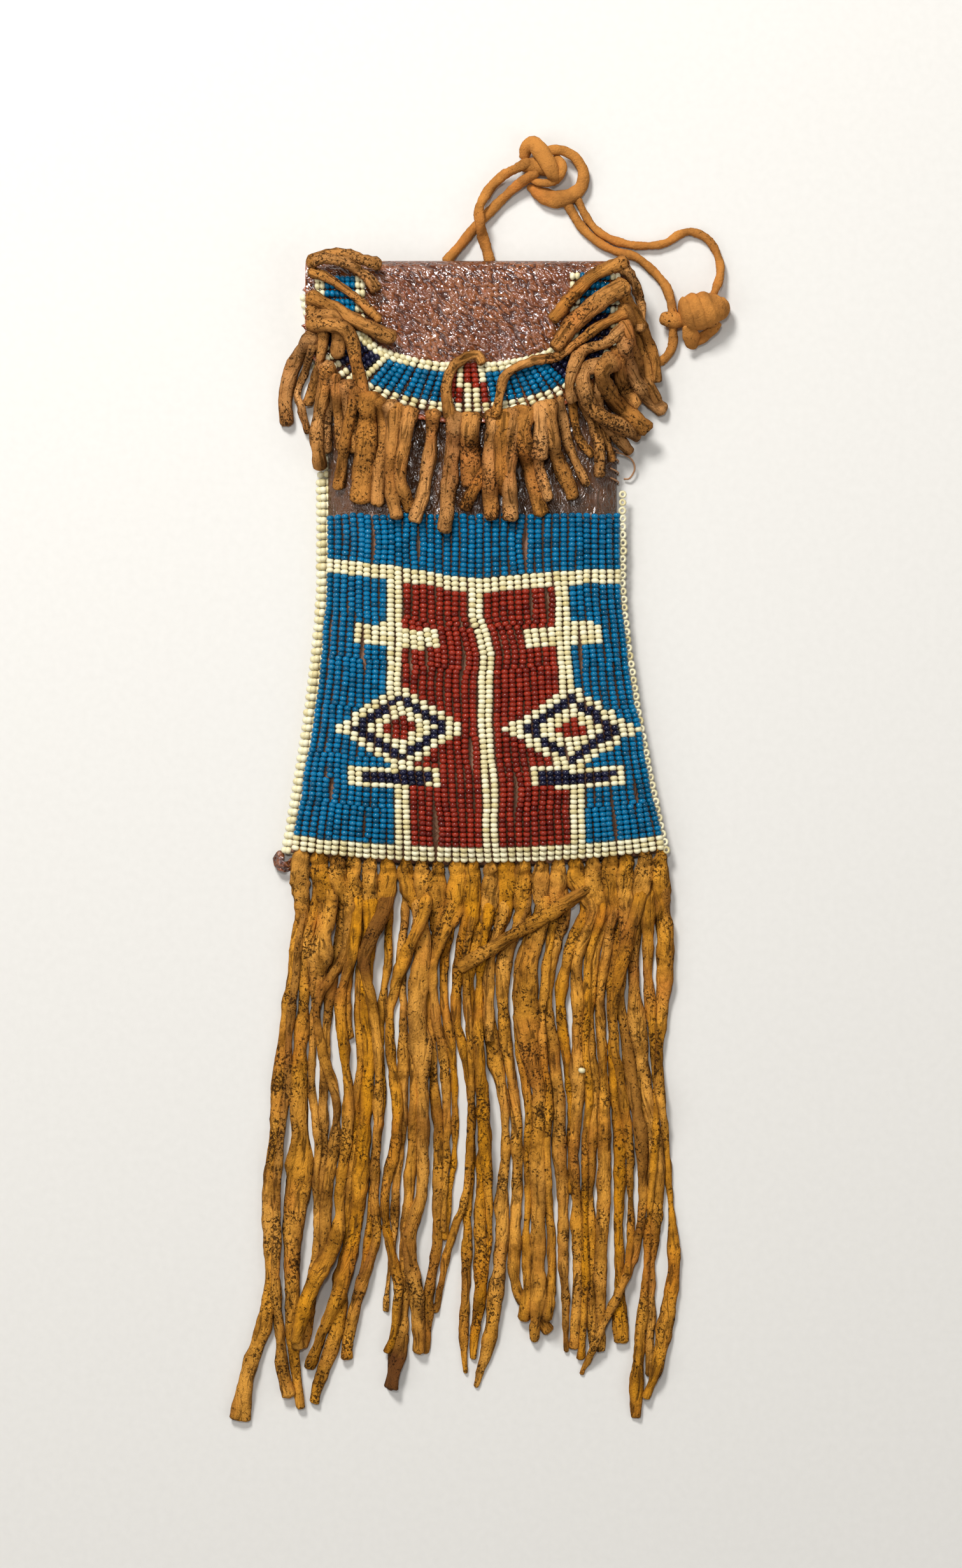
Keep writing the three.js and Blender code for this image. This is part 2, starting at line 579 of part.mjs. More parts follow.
// Hem fringe. Each thong is one tail or two; a tail is its sideways offsets from the thong's head at
// every station below the hem, the last one at the tip, and how far below the hem the tip lies
const FRINGE = [
  [[[0, -2, -3.5, -5, -6.5, -7, -8.5, -8.5, -8, -10, -14, -16], 143.5],
    [[0.5, -1, -2.5, -3.5, -4, -5.5, -6.5, -6.5, -7, -6, -5, -3.5], 137.5]],
  [[[-1, -4, -4, -5, -5.5, -5, -5.5, -7, -7, -7, -6, -5], 140],
    [[2, 0, -1, -2, -2, -0.5, -1, -0.5, -2.5, -5.5, -5.5], 125]],
  [[[1, 0, -2, -3, -3.5, -3.5, -3.5, -4, -6, -7.5, -8.5], 124],
    [[3, 2, -4.5, -4, -0.5, -0.5, -2.5, -3, -4.5], 106]],
  [[[1, -1, -2, -1], 45],
    [[1, -0.5, -3.5, -2.5, -1.5, -2, -3.5, -4.5, -10.5, -15], 122]],
  [[[-0.5, -2, -3, -2.5, -3.5, -4, -5.5, -6, -8, -9, -13, -14.5], 137.5],
    [[0, -0.5, -1.5, -0.5, -1, -2, -3, -4.5, -7.5, -12.5, -15.5], 128.5]],
  [[[0, 0, -1.5, -2, -1.5, -3, -4, -5, -7], 108],
    [[-1, -6, -4, -2.5, -2.5, -3, -3.5, -3, -7, -10, -10.5], 126]],
  [[[0, -1, -0.5, -0.5, -0.5, -1, -2.5, -3, -4.5, -5], 114],
    [[3.5, 4.5, 3, 4, 4.5, 4.5, 4, 1, 2.5, 3.5, 3.5], 124]],
  [[[0, -0.5, -2, -2, -2, -2.5, -3.5, -4.5, -4.5, -5.5, -8], 133],
    [[0.5, -4.5, -8, -8, -6.5, -7, -9.5, -8.5, -6, -7.5, -9], 124]],
  [[[0, -1.5, -2.5, -2, -1, 0, -0.5, -0.5, -2.5, -3, -3.5], 124]],
  [[[-0.5, -3, -3, -1, -0.5, -0.5, -2, -3], 95],
    [[-1.5, -5.5, -5.5, -3.5, -2.5, -2.5, -3, -3.5], 93]],
  [[[-1.5, -3.5, -4.5, -2.5, -0.5, -0.5, -1.5, -1.5, -2, -2.5, -2], 129],
    [[0, -2, -1.5, -0.5, -0.5, -1, -2, -6, -8.5, -9.5], 113.5]],
  [[[-1, -5, -5.5, -4, -2, -1.5, -2.5, -2.5, -2.5, -4, -4.5], 125.5],
    [[-0.5, -2.5, -3, -3, -2, -1.5, -0.5, -0.5, -1], 103]],
  [[[-0.5, -5, -5, -3.5, -1, -0.5, -1.5, -1.5, -3, -4.5, -8], 132.5],
    [[-1, -4, -4.5, -4.5], 44.5]],
  [[[0, -5, -5.5, -4.5, -2.5, -2, -2, -2.5, -2, 6], 118.5]],
  [[[-0.5, -5, -6, -5.5, -3.5, -3.5, -3.5, -4, -3.5, -4.5], 115.5],
    [[0.5, -3, -4, -2.5, -0.5, -1, -1, -1, -1, -2], 121]],
  [[[1.5, -2, -3, -1.5, 0, 0, 1, 1, 1.5, 2], 124],
    [[-1, -3, -4, -4, -2.5, -3, -2.5, -2, -2, -3], 115.5]],
  [[[2.5, -2, -4, -2.5, -1.5, -1.5, -1.5], 84],
    [[4.5, 0.5, 0.5, 0.5, 0.5, -0.5, 0, 0.5, 0.5, -0.5], 123.5]],
  [[[3, 0.5, -1, -0.5, 0.5, 0, -1, -0.5, -0.5, 0], 124.5],
    [[2.5, -1, -1.5, -2, -1, -2, -2, -2, -2, -3], 126.5]],
  [[[1, -1, -2.5, -2, -1.5, -1.5, -1.5, -2, -2.5, -2.5], 125],
    [[-12.5, -38], 27.5]],
  [[[-0.5, -2.5, -4, -3.5, -3, -2, -2, -2, -2, -1.5], 123],
    [[0, -1, -2, 0, 1.5, 3.5, 4, 3, -1, -6.5, -11.5], 131.5]],
  [[[-0.5, -2.5, -2.5, -1, 0, 2.5, 3, 2.5, 1.5, 1.5, 1.5], 132],
    [[-1.5, -5, -7.5, -7.5, -5.5, -4, -3.5, -3.5, -4.5], 106]],
  [[[-3, -3.5, -3, -2, -1.5, -1.5, -2.5, -3.5, -4, -5, -6, -6.5], 143.5],
    [[0.5, 1, 0.5, -0.5, -0.5, 1, 2, 3, 3, 1, -1.5, -4], 138.5]],
];

function spread(points) {
  const places = [];
  for (let k = 0; k + 1 < points.length; k += 1) {
    const count = Math.ceil(points[k].distanceTo(points[k + 1]) / SETTLE_STEP);
    for (let i = 0; i < count; i += 1) {
      places.push({ step: k, at: points[k].clone().lerp(points[k + 1], i / count) });
    }
  }
  places.push({ step: points.length - 2, at: points[points.length - 1].clone() });
  return places;
}

// Lays one more tail on those already down: wherever it comes too near, that stretch is lifted
const laid = [];
function settle(points, fixed) {
  const near = 2 * THONG_RADIUS + CLEARANCE;
  for (let round = 0; round < SETTLE_ROUNDS; round += 1) {
    const blocked = spread(points).filter(({ at }) => laid.some((other) => other.distanceTo(at) < near));
    if (blocked.length === 0) break;
    const steps = new Set(blocked.flatMap(({ step }) => [step, step + 1]));
    steps.forEach((step) => { if (step >= fixed) points[step].z += SETTLE_LIFT; });
  }
  laid.push(...spread(points).map(({ at }) => at));
  return points;
}

function tailPoints(head, top, startZ, offsets, drop) {
  const points = [new THREE.Vector3(head, top, startZ), new THREE.Vector3(head, top - NECK, startZ)];
  offsets.forEach((offset, k) => {
    const down = k === offsets.length - 1 ? drop : (k + 1) * FRINGE_STATION;
    points.push(new THREE.Vector3(head + offset, hemLine(head) - down, THONG_RADIUS));
  });
  return points;
}

// The hairpin by which a two-tailed thong hangs: up from the lower tail and over to the upper one
function hairpin(head, base, radius) {
  const points = [];
  for (let k = 1; k < HAIRPIN_STEPS; k += 1) {
    const angle = (k / HAIRPIN_STEPS) * Math.PI;
    const z = THONG_RADIUS + radius * (1 - Math.cos(angle));
    points.push(new THREE.Vector3(head, base + radius * Math.sin(angle), z));
  }
  return points;
}

const firstHead = acrossX(-1, HEM_Y) + FRINGE_LEFT_INSET;
const lastHead = acrossX(1, HEM_Y) - FRINGE_RIGHT_INSET;
const heads = FRINGE.map((tails, k) => {
  const share = k / (FRINGE.length - 1);
  return THREE.MathUtils.lerp(firstHead, lastHead, share);
});
const bend = THONG_RADIUS + CLEARANCE;
const lowerTails = FRINGE.map(([[offsets, drop], second], k) => {
  const hem = hemLine(heads[k]) - HEM_ROOM;
  const top = second ? hem - THONG_RADIUS - bend : hem;
  return settle(tailPoints(heads[k], top, THONG_RADIUS, offsets, drop), 2);
});
const upperTails = FRINGE.map(([, second], k) => {
  if (!second) return null;
  const start = lowerTails[k][0];
  return settle(tailPoints(heads[k], start.y, start.z + 2 * bend, second[0], second[1]), 1);
});
FRINGE.forEach((tails, k) => {
  const lower = [...lowerTails[k]].reverse();
  const upper = upperTails[k];
  const route = upper ? [...lower, ...hairpin(heads[k], lowerTails[k][0].y, bend), ...upper] : lower;
  const name = `fringe_thong_${String(k + 1).padStart(2, '0')}`;
  addPiece(name, tube(route, THONG_RADIUS, THONG_SIDES, HALF_STEP), BUCKSKIN_FINISH);
});

// Hanging thong: two ends out of the fold's back, a knot with a loop, two cords to a wound toggle
addPiece('hanger_left', cord([
  [-6.6, FOLD_Y + CLEARANCE, 2.5], [-3, FOLD_Y + 4.5, 1.6], [0, FOLD_Y + 8.2, 1.4], [3.9, FOLD_Y + 12.4, 1.4],
  [9.8, FOLD_Y + 18.2, 1.8], [12.9, FOLD_Y + 20.6, 3],
], 1.35), THONG_FINISH);
addPiece('hanger_right', cord([
  [4.4, FOLD_Y + CLEARANCE, 2.6], [3.6, FOLD_Y + 3.4, 1.9], [2.6, FOLD_Y + 6.4, 2.8], [1.9, FOLD_Y + 10.2, 4.8],
  [1.8, FOLD_Y + 13.8, 4], [4.4, FOLD_Y + 18.6, 2.4], [7.6, FOLD_Y + 21.8, 3], [11.1, FOLD_Y + 23.4, 4],
], 1.4), THONG_FINISH);
const knot = new THREE.SphereGeometry(1, 14, 10);
knot.scale(6, 5.5, 4);
knot.translate(17.7, FOLD_Y + 24.4, 4);
const loop = cord([
  [17.7, FOLD_Y + 26, 4], [20.4, FOLD_Y + 28, 4], [25.6, FOLD_Y + 26.6, 2.6], [28.2, FOLD_Y + 22.1, 1.8],
  [25.8, FOLD_Y + 18.1, 1.8], [21.5, FOLD_Y + 16.8, 1.8], [17.8, FOLD_Y + 19.4, 2.6], [17.7, FOLD_Y + 22.4, 3.6],
], 1.5, 1);
addField('hanger_knot', solid(knot).add(solid(loop)), THONG_FINISH);
addPiece('toggle_cord_long', cord([
  [26.8, FOLD_Y + 16.4, 1.6], [29.9, FOLD_Y + 11, 1.3], [33, FOLD_Y + 8, 1.3], [36.9, FOLD_Y + 6.2, 1.3],
  [42.4, FOLD_Y + 4.6, 1.3], [48.5, FOLD_Y + 4.8, 1.3], [52.9, FOLD_Y + 7.3, 1.3], [56, FOLD_Y + 7.8, 1.3],
  [60, FOLD_Y + 5.8, 1.3], [62.4, FOLD_Y + 1.6, 1.3], [63, FOLD_Y - 2.7, 2.2], [61.8, FOLD_Y - 6.8, 4],
], 1.2), THONG_FINISH);
addPiece('toggle_cord_short', cord([
  [23.7, FOLD_Y + 15.2, 1.6], [27.2, FOLD_Y + 9.1, 1.4], [30.4, FOLD_Y + 5.8, 1.4], [34.5, FOLD_Y + 3.4, 1.4],
  [38.4, FOLD_Y + 2.3, 1.4], [41.8, FOLD_Y + 1.3, 1.4], [45.4, FOLD_Y - 1.6, 1.4], [49.2, FOLD_Y - 6.2, 1.6],
  [50.8, FOLD_Y - 12.3, 3],
], 1.3), THONG_FINISH);

function turned(profile, sides) {
  return new THREE.LatheGeometry(profile.map(([radius, along]) => new THREE.Vector2(radius, along)), sides);
}

const wrap = turned([[0, -2], [2.4, -2], [3.2, -1], [3.2, 1], [2.4, 2], [0, 2]], 14);
wrap.translate(50.8, FOLD_Y - 14.7, 3.2);
addPiece('toggle_wrap', wrap, THONG_FINISH);
const toggle = turned([
  [0, 0], [5.2, 0], [6, 1.5], [5.6, 4], [4.6, 7], [3.2, 9.6], [1.8, 10.6], [0, 10.6],
], 16);
toggle.applyQuaternion(new THREE.Quaternion().setFromUnitVectors(
  new THREE.Vector3(0, 1, 0),
  new THREE.Vector3(10.6, 2.6, -3).normalize(),
));
toggle.translate(55.2, FOLD_Y - 14, 6.4);
addPiece('toggle', toggle, THONG_FINISH);
addPiece('toggle_tail', cord([
  [50.9, FOLD_Y - 17.1, 2.4], [51, FOLD_Y - 19.6, 1.6], [50.6, FOLD_Y - 21.8, 1.3], [49, FOLD_Y - 24.2, 1.3],
  [46.5, FOLD_Y - 25.8, 1.3], [43.5, FOLD_Y - 26.6, 1.3],
], 1.25), THONG_FINISH);

export default pouch;
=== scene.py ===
"""The look of the strike-a-light pouch: leather, strung beads, buckskin fringe and hanging thong.

Shapes are worked out in millimetres on the frame's own axes. Each piece is scaled to metres when it is made.
"""
import json
import math
import random

import bmesh
import bpy
from mathutils import Matrix, Vector, noise
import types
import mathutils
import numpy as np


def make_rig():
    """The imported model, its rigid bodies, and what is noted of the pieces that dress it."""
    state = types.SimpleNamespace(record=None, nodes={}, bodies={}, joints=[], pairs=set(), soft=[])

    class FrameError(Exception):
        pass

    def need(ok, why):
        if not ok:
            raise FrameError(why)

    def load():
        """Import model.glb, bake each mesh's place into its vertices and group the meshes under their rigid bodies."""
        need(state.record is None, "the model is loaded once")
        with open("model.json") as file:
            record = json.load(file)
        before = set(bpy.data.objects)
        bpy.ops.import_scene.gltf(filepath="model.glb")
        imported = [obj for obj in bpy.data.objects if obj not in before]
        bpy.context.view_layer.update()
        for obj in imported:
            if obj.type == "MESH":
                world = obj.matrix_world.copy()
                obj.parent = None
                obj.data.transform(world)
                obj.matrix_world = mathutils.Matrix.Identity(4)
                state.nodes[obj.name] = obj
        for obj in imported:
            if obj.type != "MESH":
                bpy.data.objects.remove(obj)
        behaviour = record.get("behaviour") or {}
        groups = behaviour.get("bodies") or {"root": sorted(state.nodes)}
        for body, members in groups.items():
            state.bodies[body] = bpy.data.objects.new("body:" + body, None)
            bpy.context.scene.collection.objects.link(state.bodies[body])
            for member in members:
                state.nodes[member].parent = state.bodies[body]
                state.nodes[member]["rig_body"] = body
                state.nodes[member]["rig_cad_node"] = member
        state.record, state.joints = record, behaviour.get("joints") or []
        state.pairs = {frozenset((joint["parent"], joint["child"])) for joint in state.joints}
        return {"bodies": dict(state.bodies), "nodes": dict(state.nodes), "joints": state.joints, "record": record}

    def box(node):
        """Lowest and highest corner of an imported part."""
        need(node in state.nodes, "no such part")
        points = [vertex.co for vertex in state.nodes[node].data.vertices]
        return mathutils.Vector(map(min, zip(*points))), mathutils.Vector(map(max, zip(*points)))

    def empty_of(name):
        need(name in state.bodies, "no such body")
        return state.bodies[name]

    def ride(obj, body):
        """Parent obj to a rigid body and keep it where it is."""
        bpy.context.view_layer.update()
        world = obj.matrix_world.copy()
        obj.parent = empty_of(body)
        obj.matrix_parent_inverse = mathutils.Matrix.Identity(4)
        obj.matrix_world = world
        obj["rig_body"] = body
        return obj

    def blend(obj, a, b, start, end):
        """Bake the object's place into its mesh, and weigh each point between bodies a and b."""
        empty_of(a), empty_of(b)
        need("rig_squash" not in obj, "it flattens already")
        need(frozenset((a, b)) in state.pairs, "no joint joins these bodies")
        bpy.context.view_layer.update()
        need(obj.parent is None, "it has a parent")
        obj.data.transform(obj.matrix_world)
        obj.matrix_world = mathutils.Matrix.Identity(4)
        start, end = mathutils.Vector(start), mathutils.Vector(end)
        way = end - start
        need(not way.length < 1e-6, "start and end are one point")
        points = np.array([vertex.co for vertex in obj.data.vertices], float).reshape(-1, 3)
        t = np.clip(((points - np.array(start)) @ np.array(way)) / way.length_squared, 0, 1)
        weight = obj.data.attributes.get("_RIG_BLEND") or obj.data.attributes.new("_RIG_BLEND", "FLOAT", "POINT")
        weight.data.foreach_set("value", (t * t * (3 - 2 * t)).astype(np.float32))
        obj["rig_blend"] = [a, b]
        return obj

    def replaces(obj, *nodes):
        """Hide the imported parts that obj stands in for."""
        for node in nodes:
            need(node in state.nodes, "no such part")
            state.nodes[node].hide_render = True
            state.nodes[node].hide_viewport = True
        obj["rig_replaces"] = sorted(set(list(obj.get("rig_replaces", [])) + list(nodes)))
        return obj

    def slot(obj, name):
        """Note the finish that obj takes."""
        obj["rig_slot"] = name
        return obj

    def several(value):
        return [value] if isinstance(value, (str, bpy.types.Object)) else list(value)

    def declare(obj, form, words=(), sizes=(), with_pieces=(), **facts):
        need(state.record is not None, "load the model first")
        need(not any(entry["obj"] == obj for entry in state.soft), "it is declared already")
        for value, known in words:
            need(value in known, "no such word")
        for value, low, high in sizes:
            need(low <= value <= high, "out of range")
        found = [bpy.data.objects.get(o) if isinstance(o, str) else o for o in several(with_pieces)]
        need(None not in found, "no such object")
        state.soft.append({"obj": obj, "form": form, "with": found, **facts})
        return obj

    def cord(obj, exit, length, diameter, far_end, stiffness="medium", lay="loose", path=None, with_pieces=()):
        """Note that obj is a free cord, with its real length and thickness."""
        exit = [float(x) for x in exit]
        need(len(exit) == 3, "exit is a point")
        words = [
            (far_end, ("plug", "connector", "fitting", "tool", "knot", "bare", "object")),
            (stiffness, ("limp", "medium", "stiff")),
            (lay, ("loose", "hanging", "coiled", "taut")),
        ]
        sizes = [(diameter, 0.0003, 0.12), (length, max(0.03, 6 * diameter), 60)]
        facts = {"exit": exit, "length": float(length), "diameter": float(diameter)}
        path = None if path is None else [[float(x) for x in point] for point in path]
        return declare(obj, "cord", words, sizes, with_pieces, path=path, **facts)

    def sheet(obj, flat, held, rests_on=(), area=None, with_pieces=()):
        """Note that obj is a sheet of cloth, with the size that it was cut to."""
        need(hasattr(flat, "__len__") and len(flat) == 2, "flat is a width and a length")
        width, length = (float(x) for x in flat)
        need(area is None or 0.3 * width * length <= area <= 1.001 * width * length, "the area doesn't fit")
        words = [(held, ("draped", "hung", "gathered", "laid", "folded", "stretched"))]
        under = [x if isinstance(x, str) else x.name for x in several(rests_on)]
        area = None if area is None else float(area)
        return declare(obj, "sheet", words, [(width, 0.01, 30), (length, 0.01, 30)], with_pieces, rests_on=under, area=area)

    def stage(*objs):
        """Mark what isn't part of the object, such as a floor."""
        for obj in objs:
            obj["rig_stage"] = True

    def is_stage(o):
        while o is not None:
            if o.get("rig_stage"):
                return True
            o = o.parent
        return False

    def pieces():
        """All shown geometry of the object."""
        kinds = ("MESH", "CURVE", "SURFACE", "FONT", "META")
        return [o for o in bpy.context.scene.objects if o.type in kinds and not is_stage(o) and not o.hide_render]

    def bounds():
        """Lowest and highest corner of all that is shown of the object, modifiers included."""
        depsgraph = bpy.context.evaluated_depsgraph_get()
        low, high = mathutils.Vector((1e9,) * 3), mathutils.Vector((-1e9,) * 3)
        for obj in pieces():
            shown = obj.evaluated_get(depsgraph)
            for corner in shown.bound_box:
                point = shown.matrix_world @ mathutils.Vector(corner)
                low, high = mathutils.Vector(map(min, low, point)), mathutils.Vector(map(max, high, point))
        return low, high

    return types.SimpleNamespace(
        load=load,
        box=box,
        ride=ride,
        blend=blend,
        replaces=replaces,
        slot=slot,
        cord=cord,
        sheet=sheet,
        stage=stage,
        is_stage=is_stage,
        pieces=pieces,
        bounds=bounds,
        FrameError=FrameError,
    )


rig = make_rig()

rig.load()
cad_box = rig.bounds()
rng = random.Random(11)

MM = 0.001
FLOOR_ROOM = 0.05
UP = Vector((0, 0, 1))


def node_box(name):
    low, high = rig.box(name)
    return Vector(low) / MM, Vector(high) / MM


# Leather, from the frame and the part's own sizes
back_low, back_high = node_box("back_panel")
front_high = node_box("front_panel")[1]
flap_low, flap_high = node_box("flap_leather")
FOLD_Y = back_high.y
HEM_Y = back_low.y
MOUTH_Y = front_high.y
FRONT_TOP = front_high.z
FLAP_TOP = flap_high.z
LEATHER = 1.6
WAIST_HALF = 36.6
HEM_FLARE = 10.8
HEM_DRIFT = 1.2
FLARE_LENGTH = 71.6
SHOULDER_FLARE = 3.4
SHOULDER_LENGTH = 32
HEM_SAG = 3.2
POCKET_DEPTH = 5.2
HEM_CLOSING = 26
# How suddenly the flare, the bulge's sides and hem, the hem's sag and the flap's droop set in
FLARE_POWER, SIDE_POWER, CLOSING_POWER, SAG_POWER, DROOP_POWER = 1.4, 8, 3, 4, 4
HEM_HALF = WAIST_HALF + HEM_FLARE
FLAP_HALF = (flap_high.x - flap_low.x) / 2
FLAP_SHIFT = (flap_high.x + flap_low.x) / 2
FLAP_SIDE = 17.6
FLAP_SIDE_Y = FOLD_Y - FLAP_SIDE
FLAP_ROUND = FLAP_SIDE_Y - flap_low.y
FLAP_DROOP = 1.6


# Colours and materials


def linear(hex_colour):
    channels = [int(hex_colour[i:i + 2], 16) / 255 for i in (1, 3, 5)]
    return [c / 12.92 if c <= 0.04045 else ((c + 0.055) / 1.055) ** 2.4 for c in channels] + [1.0]


def node(tree, kind, inputs, out, **settings):
    """Adds a shader node and gives one of its outputs. An input is a number, a colour or another output."""
    made = tree.nodes.new("ShaderNode" + kind)
    for key, value in settings.items():
        setattr(made, key, value)
    for key, value in inputs.items():
        if isinstance(value, bpy.types.NodeSocket):
            tree.links.new(value, made.inputs[key])
        else:
            made.inputs[key].default_value = value
    return made.outputs[out]


def new_material(name):
    material = bpy.data.materials.new(name)
    material.use_nodes = True
    tree = material.node_tree
    return material, tree, tree.nodes["Principled BSDF"]


def set_shader(tree, shader, linked, levels):
    """Links what varies over the surface to the shader, and sets on its sockets what is the same all over."""
    for key, output in linked.items():
        tree.links.new(output, shader.inputs[key])
    for key, level in levels.items():
        shader.inputs[key].default_value = level


def feature(millimetres):
    """A pattern's scale: one over the size of a feature in metres."""
    return 1 / (millimetres * MM)


# The sockets of a Mix node that mixes colours
MIX_A, MIX_B, MIX_OUT = 6, 7, 2


def crackled_leather():
    """Smooth-side hide, oiled and cracked: slanted creases, ridges that glint and are also painted pale as a
    highlight, painted shade in the grooves, scuffed to orange.
    """
    material, tree, shader = new_material("crackled_oiled_hide")
    place = node(tree, "TexCoord", {}, "Object")
    slant = node(tree, "Mapping", {"Vector": place, "Rotation": (0, 0, math.radians(-40)),
                                   "Scale": (1.8, 1.0, 1.0)}, 0, vector_type="TEXTURE")
    patch = node(tree, "TexNoise", {"Vector": place, "Scale": feature(14), "Detail": 4.0,
                                    "Roughness": 0.6}, "Fac")
    crease = node(tree, "TexNoise", {"Vector": slant, "Scale": feature(1.4), "Detail": 2.0,
                                     "Roughness": 0.45, "Distortion": 1.0}, "Fac")
    pebble = node(tree, "TexVoronoi", {"Vector": slant, "Scale": feature(0.75),
                                       "Smoothness": 0.35}, "Distance", feature="SMOOTH_F1")
    relief = node(tree, "Math", {0: pebble, 1: -0.35, 2: crease}, 0, operation="MULTIPLY_ADD")
    groove_shade = node(tree, "MapRange", {"Value": relief, "From Min": 0.2, "From Max": 0.36}, 0)
    ridge = node(tree, "MapRange", {"Value": relief, "From Min": 0.46, "From Max": 0.62, "To Max": 0.2}, 0)
    tone = node(tree, "MapRange", {"Value": patch, "From Min": 0.36, "From Max": 0.64}, 0)
    base = node(tree, "Mix", {0: tone, MIX_A: linear("#602F14"),
                              MIX_B: linear("#844A22")}, MIX_OUT, data_type="RGBA")
    # Painted shade: the grooves of the relief are darkened, as shade falls in them
    cut = node(tree, "Mix", {0: groove_shade, MIX_A: linear("#44200F"), MIX_B: base}, MIX_OUT, data_type="RGBA")
    # Painted highlight: the ridges of the relief are painted pale, as light catches them
    ridge_highlighted = node(tree, "Mix", {0: ridge, MIX_A: cut,
                                  MIX_B: linear("#D4BCA4")}, MIX_OUT, data_type="RGBA")
    scuff_noise = node(tree, "TexNoise", {"Vector": place, "Scale": feature(5), "Detail": 7.0,
                                          "Roughness": 0.72}, "Fac")
    scuff = node(tree, "MapRange", {"Value": scuff_noise, "From Min": 0.6, "From Max": 0.72,
                                    "To Max": 0.7}, 0)
    worn = node(tree, "Mix", {0: scuff, MIX_A: ridge_highlighted,
                              MIX_B: linear("#A85426")}, MIX_OUT, data_type="RGBA")
    rim = node(tree, "Attribute", {}, "Fac", attribute_name="rim")
    edged = node(tree, "Mix", {0: rim, MIX_A: worn, MIX_B: linear("#9E4E26")}, MIX_OUT, data_type="RGBA")
    bump = node(tree, "Bump", {"Height": relief, "Strength": 1.0, "Distance": 0.0008}, 0)
    gloss = node(tree, "MapRange", {"Value": patch, "To Min": 0.04, "To Max": 0.18}, 0)
    set_shader(tree, shader, {"Base Color": edged, "Roughness": gloss, "Normal": bump},
               {"Specular IOR Level": 0.95})
    return material


def worn_leather():
    """The pocket's own hide: rubbed brown and shiny in fine upright creases; under the beads it is painted paler, as
    lit leather between the lanes, and matt.
    """
    material, tree, shader = new_material("rubbed_brown_hide")
    place = node(tree, "TexCoord", {}, "Object")
    upright = node(tree, "Mapping", {"Vector": place, "Scale": (1.0, 2.4, 1.0)}, 0, vector_type="TEXTURE")
    patch = node(tree, "TexNoise", {"Vector": place, "Scale": feature(9), "Detail": 6.0,
                                    "Roughness": 0.65}, "Fac")
    crease = node(tree, "TexNoise", {"Vector": upright, "Scale": feature(1.8), "Detail": 3.0,
                                     "Roughness": 0.5, "Distortion": 1.0}, "Fac")
    tone = node(tree, "MapRange", {"Value": patch, "From Min": 0.32, "From Max": 0.68}, 0)
    rubbed = node(tree, "Mix", {0: tone, MIX_A: linear("#35200F"),
                                MIX_B: linear("#5A3820")}, MIX_OUT, data_type="RGBA")
    sewn = node(tree, "Attribute", {}, "Fac", attribute_name="sewn")
    # Painted light: where the beads are sewn the hide is painted paler, as the leather between the lanes shows lit
    base = node(tree, "Mix", {0: sewn, MIX_A: rubbed, MIX_B: linear("#80563A")}, MIX_OUT, data_type="RGBA")
    bump = node(tree, "Bump", {"Height": crease, "Strength": 1.0, "Distance": 0.0014}, 0)
    polish = node(tree, "MapRange", {"Value": patch, "To Min": 0.05, "To Max": 0.3}, 0)
    gloss = node(tree, "Math", {0: sewn, 1: 0.5, 2: polish}, 0, operation="MULTIPLY_ADD")
    set_shader(tree, shader, {"Base Color": base, "Roughness": gloss, "Normal": bump},
               {"Specular IOR Level": 0.7})
    return material


